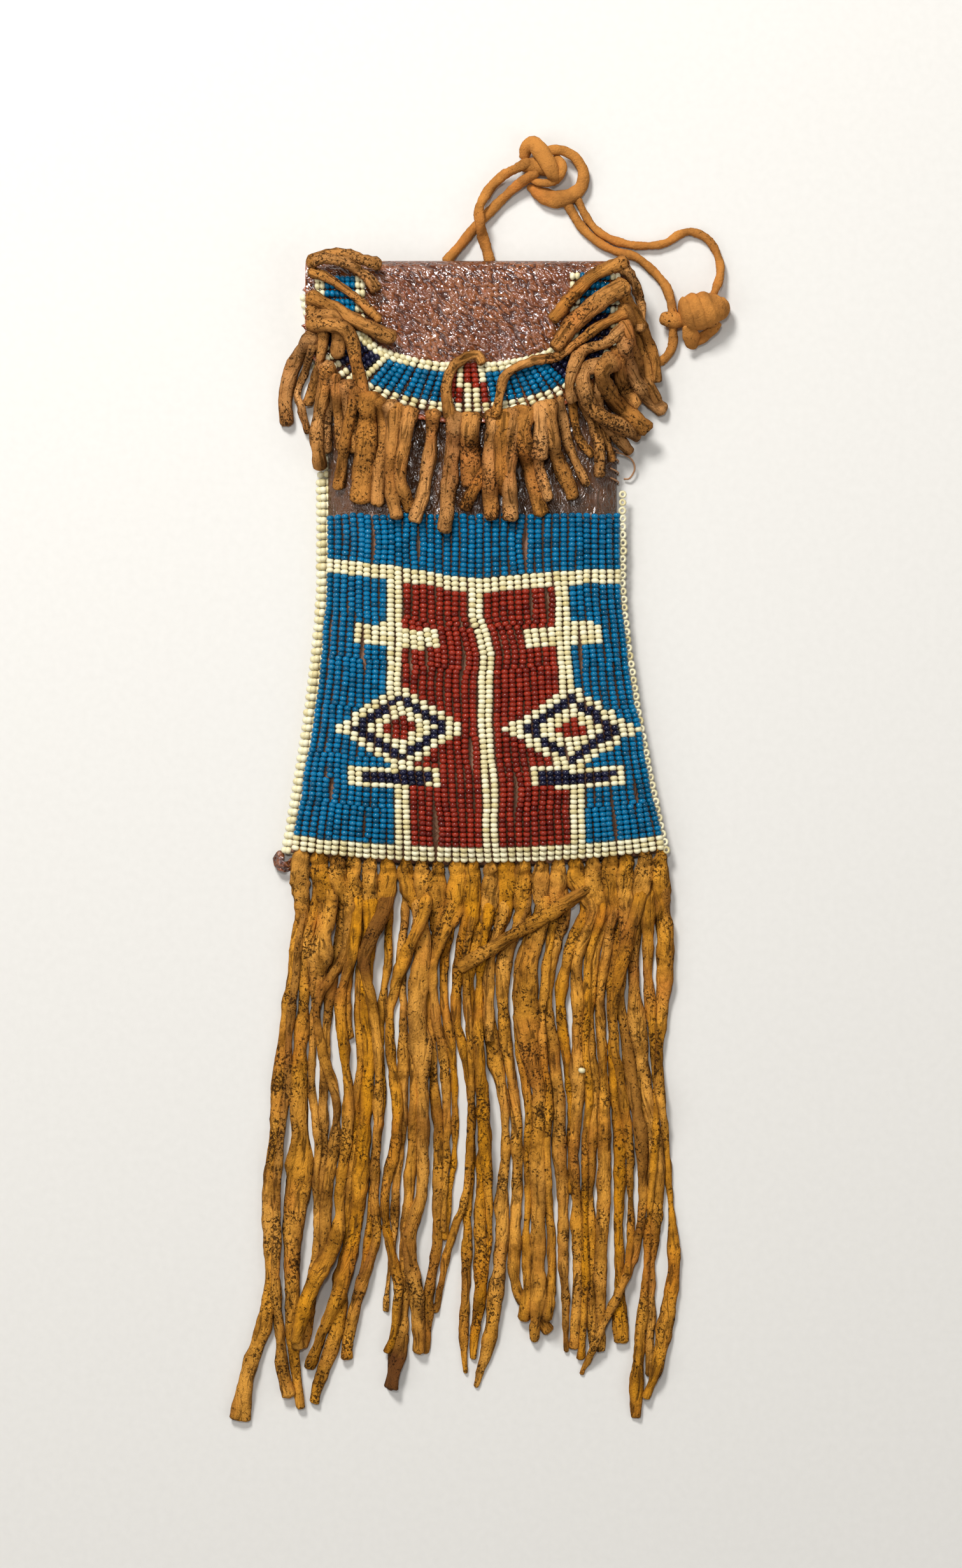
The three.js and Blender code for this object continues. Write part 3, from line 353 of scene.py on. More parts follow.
def buckskin(name, golden, pale, dark, pits_from):
    """Brain-tanned skin rubbed with ochre: a matt nap, wrinkled lengthwise with painted shade in the folds, each
    strand its own tone, with drifts of dark pits whose darkness is partly their own and partly painted shade, and
    painted shade along each strand's sides."""
    material, tree, shader = new_material(name)
    place = node(tree, "TexCoord", {}, "Object")
    lay = node(tree, "Attribute", {}, "Vector", attribute_name="lay")
    tone = node(tree, "Attribute", {}, "Fac", attribute_name="tone")
    drift = node(tree, "TexNoise", {"Vector": place, "Scale": feature(7), "Detail": 6.0,
                                    "Roughness": 0.7}, "Fac")
    nap = node(tree, "TexNoise", {"Vector": place, "Scale": feature(0.5), "Detail": 4.0,
                                  "Roughness": 0.7}, "Fac")
    lengthwise = node(tree, "Mapping", {"Vector": lay, "Scale": (1.0, 0.2, 1.0)}, 0)
    wrinkle = node(tree, "TexNoise", {"Vector": lengthwise, "Scale": feature(1.3), "Detail": 4.0,
                                      "Roughness": 0.6, "Distortion": 0.9}, "Fac")
    fold_shade = node(tree, "MapRange", {"Value": wrinkle, "From Min": 0.47, "From Max": 0.36, "To Max": 0.8}, 0)
    grain = node(tree, "TexNoise", {"Vector": place, "Scale": feature(0.7), "Detail": 3.0, "Roughness": 0.6,
                                    "Distortion": 0.6}, "Fac")
    cluster = node(tree, "TexNoise", {"Vector": place, "Scale": feature(9), "Detail": 2.0}, "Fac")
    gathered = node(tree, "Math", {0: cluster, 1: 0.5, 2: grain}, 0, operation="MULTIPLY_ADD")
    pits = node(tree, "MapRange", {"Value": gathered, "From Min": pits_from, "From Max": pits_from + 0.08,
                                   "To Max": 0.9}, 0)
    shade = node(tree, "MapRange", {"Value": drift, "From Min": 0.44, "From Max": 0.66, "To Max": 0.85}, 0)
    base = node(tree, "Mix", {0: tone, MIX_A: linear(golden),
                              MIX_B: linear(pale)}, MIX_OUT, data_type="RGBA")
    rust_noise = node(tree, "TexNoise", {"Vector": place, "Scale": feature(17), "Detail": 3.0}, "Fac")
    rust = node(tree, "MapRange", {"Value": rust_noise, "From Min": 0.5, "From Max": 0.68,
                                   "To Max": 0.45}, 0)
    rusted = node(tree, "Mix", {0: rust, MIX_A: base, MIX_B: linear("#B4622A")}, MIX_OUT, data_type="RGBA")
    toned = node(tree, "Mix", {0: shade, MIX_A: rusted, MIX_B: linear(dark)}, MIX_OUT, data_type="RGBA")
    # The brown attribute holds browned stretches, a smoked tone, and painted shade along each strand's sides
    brown = node(tree, "Attribute", {}, "Fac", attribute_name="brown")
    browned = node(tree, "Mix", {0: brown, MIX_A: toned,
                                 MIX_B: linear("#5A3418")}, MIX_OUT, data_type="RGBA")
    # Painted shade: the folds of the lengthwise wrinkles are darkened, as shade falls in them
    folded = node(tree, "Mix", {0: fold_shade, MIX_A: browned,
                                MIX_B: linear("#4E300E")}, MIX_OUT, data_type="RGBA")
    # The pits are darkened: partly their own dark grain, partly painted shade in the sunk pits
    pitted = node(tree, "Mix", {0: pits, MIX_A: folded,
                                MIX_B: linear("#2A1808")}, MIX_OUT, data_type="RGBA")
    sunk = node(tree, "Math", {0: nap, 1: pits}, 0, operation="SUBTRACT")
    relief = node(tree, "Math", {0: wrinkle, 1: 2.5, 2: sunk}, 0, operation="MULTIPLY_ADD")
    bump = node(tree, "Bump", {"Height": relief, "Strength": 0.9, "Distance": 0.0005}, 0)
    set_shader(tree, shader, {"Base Color": pitted, "Normal": bump},
               {"Roughness": 0.9, "Specular IOR Level": 0.08})
    return material


def glass_beads(name, deep, light, roughness):
    """Drawn glass cut short and tumbled: glossy, each bead a little different, one point of light on each."""
    material, tree, shader = new_material(name)
    tint = node(tree, "Attribute", {}, "Fac", attribute_name="tint")
    base = node(tree, "Mix", {0: tint, MIX_A: linear(deep),
                              MIX_B: linear(light)}, MIX_OUT, data_type="RGBA")
    set_shader(tree, shader, {"Base Color": base},
               {"Roughness": roughness, "IOR": 1.52, "Specular IOR Level": 0.32})
    return material


def sinew():
    """Sewing sinew: pale twisted thread, half matt."""
    material, tree, shader = new_material("sewing_sinew")
    place = node(tree, "TexCoord", {}, "Object")
    strand = node(tree, "TexNoise", {"Vector": place, "Scale": feature(0.6), "Detail": 3.0}, "Fac")
    base = node(tree, "Mix", {0: strand, MIX_A: linear("#7A4A2C"),
                              MIX_B: linear("#B98A5C")}, MIX_OUT, data_type="RGBA")
    set_shader(tree, shader, {"Base Color": base}, {"Roughness": 0.6})
    return material


FLAP_HIDE = crackled_leather()
POCKET_HIDE = worn_leather()
FRINGE_SKIN = buckskin("golden_buckskin", "#D28C1A", "#DA9A42", "#70460E", 0.84)
FLAP_SKIN = buckskin("smoked_buckskin", "#C08038", "#D0965A", "#7C5020", 0.82)
THONG_SKIN = buckskin("tan_buckskin_thong", "#C0803C", "#B87C40", "#8A5A2A", 0.95)
SINEW = sinew()
BEADS = {
    "white": glass_beads("cream_glass_beads", "#C4B47E", "#E2DAB8", 0.18),
    "blue": glass_beads("blue_glass_beads", "#00405C", "#006690", 0.1),
    "red": glass_beads("garnet_glass_beads", "#540F08", "#8C2614", 0.12),
    "navy": glass_beads("navy_glass_beads", "#0C0C1C", "#191932", 0.1),
}


# Making pieces


def finish_piece(name, bm, material, body, slot, nodes=()):
    """Turns a mesh in millimetres into a smooth piece in metres, which rides on a body and replaces nodes."""
    bmesh.ops.scale(bm, vec=(MM, MM, MM), verts=bm.verts)
    for face in bm.faces:
        face.smooth = True
    mesh = bpy.data.meshes.new(name)
    bm.to_mesh(mesh)
    bm.free()
    mesh.materials.append(material)
    piece = bpy.data.objects.new(name, mesh)
    bpy.context.collection.objects.link(piece)
    if body:
        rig.ride(piece, body)
    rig.slot(piece, slot)
    if nodes:
        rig.replaces(piece, *nodes)
    return piece


def lerp(a, b, share):
    return a + (b - a) * share


def along(stops, place):
    """The value at a place in a run of (place, value) stops."""
    for (p0, v0), (p1, v1) in zip(stops, stops[1:]):
        if place <= p1:
            return lerp(v0, v1, max(0.0, (place - p0) / (p1 - p0)))
    return stops[-1][1]


def wander(seed, place):
    """A slow drift between about -1 and 1 that differs for each seed."""
    return noise.noise(Vector((seed * 7.31, place, seed * 1.7))) * 1.6


def running_lengths(route):
    """How far along a route each of its points lies."""
    lengths = [0.0]
    for p, q in zip(route, route[1:]):
        lengths.append(lengths[-1] + (q - p).length)
    return lengths


def route_length(route):
    return sum((q - p).length for p, q in zip(route, route[1:]))


def smooth_route(points, step):
    """Points a step apart on a smooth curve through given ones."""
    knots = [Vector(p) for p in points]
    knots = [knots[0] * 2 - knots[1]] + knots + [knots[-1] * 2 - knots[-2]]
    fine = []
    for a, b, c, d in zip(knots, knots[1:], knots[2:], knots[3:]):
        count = max(2, math.ceil((c - b).length / (step / 4)))
        for i in range(count):
            t = i / count
            fine.append(((2 * b) + (c - a) * t + (2 * a - 5 * b + 4 * c - d) * t ** 2
                         + (3 * b - a - 3 * c + d) * t ** 3) / 2)
    fine.append(knots[-2].copy())
    lengths = running_lengths(fine)
    count = max(2, round(lengths[-1] / step))
    route, k = [], 0
    for i in range(count + 1):
        target = lengths[-1] * i / count
        while k < len(fine) - 2 and lengths[k + 1] < target:
            k += 1
        span = max(1e-9, lengths[k + 1] - lengths[k])
        route.append(fine[k].lerp(fine[k + 1], min(1.0, (target - lengths[k]) / span)))
    return route


def section(place, ahead, turn, width, thick):
    """The matrix that puts a unit circle across a route: width sideways, thickness up, turned about it."""
    ahead = ahead.normalized()
    side = ahead.cross(UP)
    side = side.normalized() if side.length > 1e-4 else Vector((1, 0, 0))
    side.rotate(Matrix.Rotation(turn, 3, ahead))
    up = side.cross(ahead)
    matrix = Matrix((side * width / 2, up * thick / 2, ahead)).transposed().to_4x4()
    matrix.translation = place
    return matrix


def loft(bm, rings, sides):
    """Skins a run of sections from end to end and closes both ends."""
    first = bmesh.ops.create_circle(bm, cap_ends=True, segments=sides, radius=1, matrix=rings[0])["verts"]
    edges = list(dict.fromkeys(e for v in first for e in v.link_edges))
    made = list(first)
    for before, after in zip(rings, rings[1:]):
        grown = bmesh.ops.extrude_edge_only(bm, edges=edges)["geom"]
        verts = [g for g in grown if isinstance(g, bmesh.types.BMVert)]
        edges = [g for g in grown if isinstance(g, bmesh.types.BMEdge) and all(v in verts for v in g.verts)]
        bmesh.ops.transform(bm, matrix=after @ before.inverted(), verts=verts)
        made += verts
    bmesh.ops.contextual_create(bm, geom=edges)
    return made


# A thong's end from its tip inwards: a place, and the share of its size there, until it is full
ROUND_END = [(0.0, 0.3), (0.18, 0.62), (0.45, 0.86)]
ROUND_FULL = 0.8
ROUND_REACH = 0.4


def rounded_end(ring, way):
    """Sections that close a thong's end, from its tip; way is -1 at its start and 1 at its finish."""
    place, ahead, turn, width, thick = ring
    reach = ahead.normalized() * thick * ROUND_REACH
    return [section(place + reach * (ROUND_FULL - where) * way, ahead, turn, width * size, thick * size)
            for where, size in ROUND_END]


def thong_rings(route, width_at, thick_at, turn_at):
    """Sections along a thong, with both ends rounded off."""
    count = len(route)
    rings = []
    gone = 0.0
    for i, place in enumerate(route):
        if i:
            gone += (place - route[i - 1]).length
        ahead = route[min(i + 1, count - 1)] - route[max(i - 1, 0)]
        rings.append((place, ahead, turn_at(gone), width_at(gone), thick_at(gone)))
    return rounded_end(rings[0], -1) + [section(*ring) for ring in rings] + rounded_end(rings[-1], 1)[::-1]


def roughen(bm, verts, size, amount):
    """Soft lumps over a piece of skin, along its own normals; size is a lump's reach on each axis."""
    bm.normal_update()
    for v in verts:
        spot = Vector((v.co.x / size[0], v.co.y / size[1], v.co.z / size[2]))
        v.co += v.normal * noise.noise(spot) * amount
        v.co.z = max(v.co.z, FLOOR_ROOM)


# The pouch's shape


def flare_at(y):
    return max(0.0, 1 - (y - HEM_Y) / FLARE_LENGTH) ** FLARE_POWER


def half_width(y):
    shoulder = max(0.0, 1 - (FOLD_Y - y) / SHOULDER_LENGTH)
    return WAIST_HALF + HEM_FLARE * flare_at(y) + SHOULDER_FLARE * shoulder ** 2


def across_x(across, y):
    return across * half_width(y) + HEM_DRIFT * flare_at(y)


def hem_line(x):
    return HEM_Y + HEM_SAG * ((x - HEM_DRIFT) / HEM_HALF) ** 2


def front_rise(x, y):
    """The top of the front leather: a low bulge that comes down to the seams at its sides and hem."""
    across = min(1.0, abs(x - HEM_DRIFT * flare_at(y)) / half_width(y))
    closing = max(0.0, 1 - (y - HEM_Y) / HEM_CLOSING) ** CLOSING_POWER
    return FRONT_TOP - POCKET_DEPTH + POCKET_DEPTH * (1 - across ** SIDE_POWER) * (1 - closing)


def flap_edge(place, inset):
    """A place along the flap's edge: 0 and 4 at the fold, 2 at the tip; inset runs inwards from it."""
    wide = FLAP_HALF - inset
    if place < 1:
        return Vector((FLAP_SHIFT - wide, FOLD_Y - place * FLAP_SIDE))
    if place > 3:
        return Vector((FLAP_SHIFT + wide, FOLD_Y - (4 - place) * FLAP_SIDE))
    angle = math.pi + (place - 1) * math.pi / 2
    return Vector((FLAP_SHIFT + wide * math.cos(angle), FLAP_SIDE_Y + (FLAP_ROUND - inset) * math.sin(angle)))


def flap_rise(x):
    """The top of the flap's leather, which droops a little at its sides."""
    return FLAP_TOP - FLAP_DROOP * min(1.0, abs(x - FLAP_SHIFT) / FLAP_HALF) ** DROOP_POWER


def on_flap(x, y):
    across = abs(x - FLAP_SHIFT) / FLAP_HALF
    down = max(0.0, FLAP_SIDE_Y - y) / FLAP_ROUND
    return math.hypot(across, down) < 1 if down else across < 1


# Camera, floor and light. The photograph looks straight down; its scale is known from the object
PHOTO_WIDE, PHOTO_TALL = 1511, 2464
PX_PER_MM = 6.2
PHOTO_X0, PHOTO_Y0 = 742, 885
CAMERA_HEIGHT = 1.2
SENSOR = 36
FLOOR_HALF = 2
# Soft square lamps: place and side in metres, watts
LAMPS = {"key": ((-0.3, 0.72, 0.8), 0.26, 14), "top": ((-0.04, 0.2, 1.25), 0.14, 4),
         "fill_left": ((-0.9, -0.2, 0.8), 0.9, 4), "fill_right": ((0.9, -0.4, 0.9), 0.9, 3)}
LAMP_AIM = Vector((0, -0.04, 0))
SKY_STRENGTH = 0.19

centre_x = (PHOTO_WIDE / 2 - PHOTO_X0) / PX_PER_MM * MM
centre_y = (PHOTO_Y0 - PHOTO_TALL / 2) / PX_PER_MM * MM
eye = bpy.data.cameras.new("eye")
eye.sensor_width = SENSOR
eye.lens = SENSOR * (CAMERA_HEIGHT - FLAP_TOP * MM / 2) / (PHOTO_TALL / PX_PER_MM * MM)
camera = bpy.data.objects.new("eye", eye)
camera.location = (centre_x, centre_y, CAMERA_HEIGHT)
bpy.context.collection.objects.link(camera)
bpy.context.scene.camera = camera
bpy.context.scene.view_settings.view_transform = "Standard"


def floor_paper():
    """Matt paper sweep: one pale tone with a very faint tooth."""
    material, tree, shader = new_material("pale_paper")
    place = node(tree, "TexCoord", {}, "Object")
    tooth = node(tree, "TexNoise", {"Vector": place, "Scale": feature(2)}, "Fac")
    base = node(tree, "Mix", {0: tooth, MIX_A: linear("#CFCCC6"),
                              MIX_B: linear("#D5D2CC")}, MIX_OUT, data_type="RGBA")
    set_shader(tree, shader, {"Base Color": base}, {"Roughness": 0.9})
    return material


floor_bm = bmesh.new()
bmesh.ops.create_grid(floor_bm, x_segments=1, y_segments=1, size=FLOOR_HALF)
floor_mesh = bpy.data.meshes.new("floor")
floor_bm.to_mesh(floor_mesh)
floor_bm.free()
floor_mesh.materials.append(floor_paper())
floor = bpy.data.objects.new("floor", floor_mesh)
bpy.context.collection.objects.link(floor)
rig.stage(floor)

for name, (place, side, watts) in LAMPS.items():
    lamp = bpy.data.lights.new(name, "AREA")
    lamp.shape = "SQUARE"
    lamp.size = side
    lamp.energy = watts
    softbox = bpy.data.objects.new(name, lamp)
    softbox.location = place
    softbox.rotation_euler = (LAMP_AIM - Vector(place)).to_track_quat("-Z", "Y").to_euler()
    bpy.context.collection.objects.link(softbox)
world = bpy.data.worlds.new("studio")
world.use_nodes = True
sky = world.node_tree.nodes["Background"]
sky.inputs["Color"].default_value = linear("#F2F2F2")
sky.inputs["Strength"].default_value = SKY_STRENGTH
bpy.context.scene.world = world


# Hanging thong: twisted buckskin cords from the fold, a knot with a ring, a stub and a wound toggle
CORD_STEP = 0.7
CORD_SIDES = 10
CORD_FLATNESS = 0.86
CORD_UNEVEN = 0.1
CORD_LUMPS = (0.9, 0.9, 0.9), 0.16
PATH_POINTS = 36


def cord_piece(name, points, width, ridges, nodes):
    """A buckskin cord with a low spiral ridge, and the path that it follows."""
    route = smooth_route(points, CORD_STEP)
    bm = bmesh.new()

    def width_at(gone):
        return width * (1 + CORD_UNEVEN * wander(len(name), gone / 6))

    rings = thong_rings(route, width_at, lambda gone: CORD_FLATNESS * width_at(gone),
                        lambda gone: gone * ridges)
    verts = loft(bm, rings, CORD_SIDES)
    roughen(bm, verts, *CORD_LUMPS)
    piece = finish_piece(name, bm, THONG_SKIN, "pouch", "thong", nodes)
    path = [tuple(p * MM) for p in route[::max(1, len(route) // PATH_POINTS)]]
    path.append(tuple(route[-1] * MM))
    return piece, path, route_length(route)


def above_fold(points):
    """Places given from the fold's line, in the frame."""
    return [Vector((x, FOLD_Y + y, z)) for x, y, z in points]


HANGER_LEFT = above_fold([
    (-6.6, 0.3, 2.5), (-3, 4.5, 1.6), (0, 8.2, 1.5), (3.9, 12.4, 1.5), (9.8, 18.2, 2.0), (13.2, 20.8, 3.2),
    (16.2, 22.6, 3.6),
])
HANGER_RIGHT = above_fold([
    (4.4, 0.3, 2.6), (3.6, 3.4, 1.9), (2.6, 6.4, 2.8), (1.9, 10.2, 4.9), (1.8, 13.8, 4.1), (4.4, 18.6, 2.6),
    (7.6, 21.8, 3.1), (11.1, 23.6, 4), (14.2, 25, 4.2),
])
TOGGLE_LONG = above_fold([
    (26.6, 16.2, 1.8), (29.5, 10.7, 1.3), (32.6, 7.5, 1.3), (36.6, 5.5, 1.3), (42.2, 4.3, 1.3),
    (48.5, 4.8, 1.3), (52.9, 7.3, 1.3), (56, 7.8, 1.3), (60, 5.8, 1.3), (62.4, 1.6, 1.3), (63, -2.7, 2.2),
    (61.8, -6.8, 3.6), (60.4, -9.8, 4.2),
])
TOGGLE_SHORT = above_fold([
    (23.9, 15.2, 1.8), (27.5, 9.4, 1.4), (30.8, 6.1, 1.4), (34.7, 3.6, 1.4), (38.4, 2.3, 1.4),
    (41.8, 1.3, 1.4), (45.4, -1.6, 1.4), (49.2, -6.2, 1.7), (50.8, -12.3, 3), (50.9, -17.1, 2.6),
    (51, -19.6, 1.7), (50.6, -21.8, 1.4), (49, -24.2, 1.3), (46.5, -25.8, 1.3), (43.5, -26.6, 1.3),
])
# Each cord's route, width, turn of its ridge in a millimetre, and the solids that it stands for
CORDS = {
    "hanger_left_cord": (HANGER_LEFT, 2.8, 0.35, ["hanger_left"]),
    "hanger_right_cord": (HANGER_RIGHT, 2.9, 0.5, ["hanger_right"]),
    "toggle_long_cord": (TOGGLE_LONG, 2.3, 0.6, ["toggle_cord_long"]),
    "toggle_short_cord": (TOGGLE_SHORT, 2.5, 0.45, ["toggle_cord_short", "toggle_tail"]),
}
cords = {name: cord_piece(name, *facts) for name, facts in CORDS.items()}

BAND_STEP = 0.6
BAND_SIDES = 12


def band(bm, points, widths, thick_share):
    """One turn of a knot or winding: a soft flat thong along its points, with a width at each."""
    spots = above_fold(points)
    route = smooth_route(spots, BAND_STEP)
    lengths = running_lengths(spots)
    total = route_length(route)
    stops = [(place * total / lengths[-1], width) for place, width in zip(lengths, widths)]
    rings = thong_rings(route, lambda gone: along(stops, gone), lambda gone: thick_share * along(stops, gone),
                        lambda gone: 0.0)
    return loft(bm, rings, BAND_SIDES)


def bound_piece(name, node_name, turns, lumps):
    """A knot or wrap, made of its turns."""
    bm = bmesh.new()
    verts = [v for turn in turns for v in band(bm, *turn)]
    roughen(bm, verts, *lumps)
    return finish_piece(name, bm, THONG_SKIN, "pouch", "thong", [node_name])


# Turns of thong: points above the fold, a width at each, and the thickness as a share of the width
KNOT_TURNS = [
    ([(13.2, 26.6, 2.6), (13.8, 29, 3.8), (15.6, 29.6, 5), (17.6, 27.2, 5.8), (19.6, 23.8, 5.6),
      (20.6, 21.4, 4.4), (20.2, 20.2, 2.6)], [2.6, 3.6, 4.2, 4.4, 4.2, 3.6, 2.4], 0.72),
    ([(21.2, 26.8, 3.2), (22.6, 24.6, 4.6), (22.4, 22.2, 4.6), (21.2, 20.4, 3.2)], [1.8, 2.6, 2.6, 1.8], 0.8),
    ([(14.2, 21.6, 2.6), (16.6, 20.2, 3.6), (19.4, 20, 4), (22, 20.8, 3.4)], [1.4, 1.9, 2, 1.4], 0.8),
    ([(17.2, 26.4, 4), (19, 27.8, 4.4), (21.4, 28.3, 4.2), (24.4, 27.6, 3.4), (27, 25.4, 2.6),
      (28.2, 22.2, 2.2), (27.6, 19.2, 2.1), (25.2, 17, 2.1), (21.6, 16, 2.1), (18, 17, 2), (15.8, 18.4, 1.8),
      (14.2, 19.4, 1.7)], [2.2, 2.5, 2.6, 2.6, 2.7, 2.9, 3.3, 4, 4.6, 4.3, 3, 1.4], 0.7),
    ([(12.4, 24.6, 3), (15.6, 24.4, 3.4), (18.8, 24, 3.2), (21.8, 23.6, 2.6)], [3, 4.4, 4.6, 3], 0.9),
]
KNOT_LUMPS = (1.3, 1.3, 1.3), 0.2
WRAP_TURNS = [
    ([(48.5, -14.4, 3.4), (49.6, -14.6, 3.7), (51.8, -14.9, 3.7), (53, -14.8, 3.4)],
     [3.4, 4.1, 4.2, 3.6], 0.95),
]
WRAP_LUMPS = (1.4, 1.4, 1.4), 0.14
knot = bound_piece("thong_knot", "hanger_knot", KNOT_TURNS, KNOT_LUMPS)
wrap = bound_piece("toggle_stub", "toggle_wrap", WRAP_TURNS, WRAP_LUMPS)

# The toggle: a strip wound on itself into a blunt barrel, each turn standing a little over the next
TOGGLE_FROM = Vector((52.6, FOLD_Y - 13.6, 5.0))
TOGGLE_TO = Vector((65.2, FOLD_Y - 11.3, 3.6))
TOGGLE_PROFILE = [(0, 2.4), (0.03, 3.5), (0.1, 4.3), (0.28, 4.8), (0.52, 4.7), (0.66, 4.3), (0.76, 3.5),
                  (0.84, 3.0), (0.93, 2.3), (0.98, 1.4), (1, 0.6)]
TOGGLE_FLATNESS = 1.9
TOGGLE_WOUND = 4.2
TOGGLE_STEP = 0.9
TOGGLE_STEPS = 60
TOGGLE_SIDES = 36
TOGGLE_LIP = 0.78
TOGGLE_LUMPS = (1.5, 1.5, 1.5), 0.16
# The strip's loose end over the barrel, and its tail beside it
TOGGLE_TURNS = [
    ([(54.2, -16.6, 6.4), (55.2, -18.6, 4.8), (56.2, -20.2, 3), (57, -20.6, 1.6)], [2.6, 4.4, 4.6, 3], 0.4),
    ([(56, -20.4, 2.2), (58.4, -19.2, 2.6), (61, -17.2, 3.2), (62.6, -15.6, 3.6)], [2.4, 2.8, 2.6, 1.6], 0.5),
]
toggle_bm = bmesh.new()
toggle_axis = TOGGLE_TO - TOGGLE_FROM
toggle_rings = []
for k in range(TOGGLE_STEPS + 1):
    share = k / TOGGLE_STEPS
    radius = along(TOGGLE_PROFILE, share)
    middle = TOGGLE_FROM.lerp(TOGGLE_TO, share)
    toggle_rings.append(section(middle, toggle_axis, 0, 2 * radius, TOGGLE_FLATNESS * radius))
toggle_verts = loft(toggle_bm, toggle_rings, TOGGLE_SIDES)
toggle_side = toggle_axis.cross(UP).normalized()
toggle_up = toggle_side.cross(toggle_axis).normalized()
for v in toggle_verts:
    out = v.co - TOGGLE_FROM
    share = out.dot(toggle_axis) / toggle_axis.length_squared
    radial = out - toggle_axis * share
    angle = math.atan2(radial.dot(toggle_up), radial.dot(toggle_side)) / (2 * math.pi)
    winding = (share * TOGGLE_WOUND + angle) % 1.0
    lip = 0.5 - abs(winding - TOGGLE_LIP) if winding > TOGGLE_LIP else winding / TOGGLE_LIP * 0.5
    v.co += radial.normalized() * TOGGLE_STEP * (lip - 0.25) * min(1.0, 12 * share, 8 * (1 - share))
for turn in TOGGLE_TURNS:
    toggle_verts += band(toggle_bm, *turn)
roughen(toggle_bm, toggle_verts, *TOGGLE_LUMPS)
toggle = finish_piece("wound_toggle", toggle_bm, THONG_SKIN, "pouch", "thong", ["toggle"])

# What each cord ends in, and the pieces on it
CORD_ENDS = {"hanger_left_cord": ("knot", []), "hanger_right_cord": ("knot", [knot]),
             "toggle_long_cord": ("fitting", [toggle]), "toggle_short_cord": ("bare", [wrap])}
for name, (far_end, carried) in CORD_ENDS.items():
    piece, path, length = cords[name]
    width = CORDS[name][1]
    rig.cord(piece, exit=path[0], length=length * MM, diameter=width * MM, far_end=far_end, stiffness="limp",
            lay="loose", path=path, with_pieces=carried)


# Leather: the flat back, the bulging front, and the flap that turns over the fold
RIM_FROM = 0.96
# Heights of the rows of stitches between the lanes of beads, from the top lane's upper edge to the hem
LANES = [12.3, -2.4, -15.3, -26.3, -38.5, -50.5, -63.0, -75.4]


def leather_sheet(columns, rows, place, turned):
    """A fine sheet with its thickness inside: across runs from -1 to 1, along from 0 to 1, and place
    gives the outer face. A turned sheet's outer face is the grid's under side."""
    bm = bmesh.new()
    bmesh.ops.create_grid(bm, x_segments=columns, y_segments=rows, size=1)
    rim = bm.verts.layers.float.new("rim")
    sewn = bm.verts.layers.float.new("sewn")
    for v in bm.verts:
        v[rim] = 1.0 if max(abs(v.co.x), v.co.y) > RIM_FROM else 0.0
        v.co = place(v.co.x, (v.co.y + 1) / 2)
        v[sewn] = 1.0 if v.co.y < LANES[0] else 0.0
    if turned:
        bmesh.ops.reverse_faces(bm, faces=bm.faces)
    bmesh.ops.solidify(bm, geom=bm.faces[:], thickness=LEATHER)
    bmesh.ops.recalc_face_normals(bm, faces=bm.faces)
    return bm


FOLD_RADIUS = FLAP_TOP / 2
FLAT_END = FOLD_Y - FOLD_RADIUS
FOLD_LAP = 0.2
CREASE = 0.28
CRUMPLE_POWER = 6
# Columns and rows of the sheets
BACK_GRID = 40, 60
FRONT_GRID = 90, 130
FLAP_GRID = 130, 110


def sagged(x, y, share):
    """A height on a sheet, moved with the hem's sag, which fades out above the hem."""
    return y + (hem_line(x) - HEM_Y) * (1 - share) ** SAG_POWER


def back_face(across, share):
    y = lerp(HEM_Y, FLAT_END + FOLD_LAP, share)
    x = across_x(across, y)
    return Vector((x, sagged(x, y, share), FLOOR_ROOM))


def front_face(across, share):
    y = lerp(HEM_Y, MOUTH_Y, share)
    x = across_x(across, y)
    crumple = CREASE * noise.noise(Vector((x / 5, y / 4, 3))) * (1 - abs(across) ** CRUMPLE_POWER)
    return Vector((x, sagged(x, y, share), front_rise(x, y) + crumple - CREASE / 2))


def sheet_area(y0, y1):
    """The flat area of the pouch's outline between two heights."""
    steps = 60
    return sum(2 * half_width(lerp(y0, y1, (k + 0.5) / steps)) for k in range(steps)) * (y1 - y0) / steps


back_leather = finish_piece("back_leather", leather_sheet(*BACK_GRID, back_face, True), POCKET_HIDE,
                            "pouch", "body_leather", ["back_panel"])
front_leather = finish_piece("front_leather", leather_sheet(*FRONT_GRID, front_face, False), POCKET_HIDE,
                             "pouch", "body_leather", ["front_panel"])

FOLD_SHARE = 0.3
FLAP_WAVE = 0.35
FLAP_CREASE = 0.22


def flap_face(across, share):
    """From under the back, round the fold, and over the front down to the tongue's rounded edge."""
    aside = math.sin(across * math.pi / 2)
    x = FLAP_SHIFT + aside * FLAP_HALF
    droop = FLAP_DROOP * aside ** DROOP_POWER
    if share < FOLD_SHARE:
        turn = share / FOLD_SHARE
        angle = (turn - 0.5) * math.pi
        z = FOLD_RADIUS + FOLD_RADIUS * math.sin(angle) - droop * turn + FLOOR_ROOM
        return Vector((x, FLAT_END + FOLD_RADIUS * math.cos(angle), z))
    down = (share - FOLD_SHARE) / (1 - FOLD_SHARE)
    edge_y = FLAP_SIDE_Y - FLAP_ROUND * math.sqrt(max(0.0, 1 - aside ** 2))
    y = lerp(FLAT_END, edge_y, down)
    wave = FLAP_WAVE * noise.noise(Vector((x / 9, y / 9, 8)))
    wave += FLAP_CREASE * noise.noise(Vector(((x + y) / 1.7, (x - y) / 6, 2)))
    wave *= min(1.0, down * 4)
    return Vector((x, y, FLAP_TOP - droop + wave))


flap_leather = finish_piece("flap_tongue", leather_sheet(*FLAP_GRID, flap_face, True), FLAP_HIDE, None,
                            "flap_leather", ["flap_leather"])
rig.blend(flap_leather, "pouch", "flap", start=(0, FOLD_Y * MM, 0.0012), end=(0, FOLD_Y * MM, 0.0072))


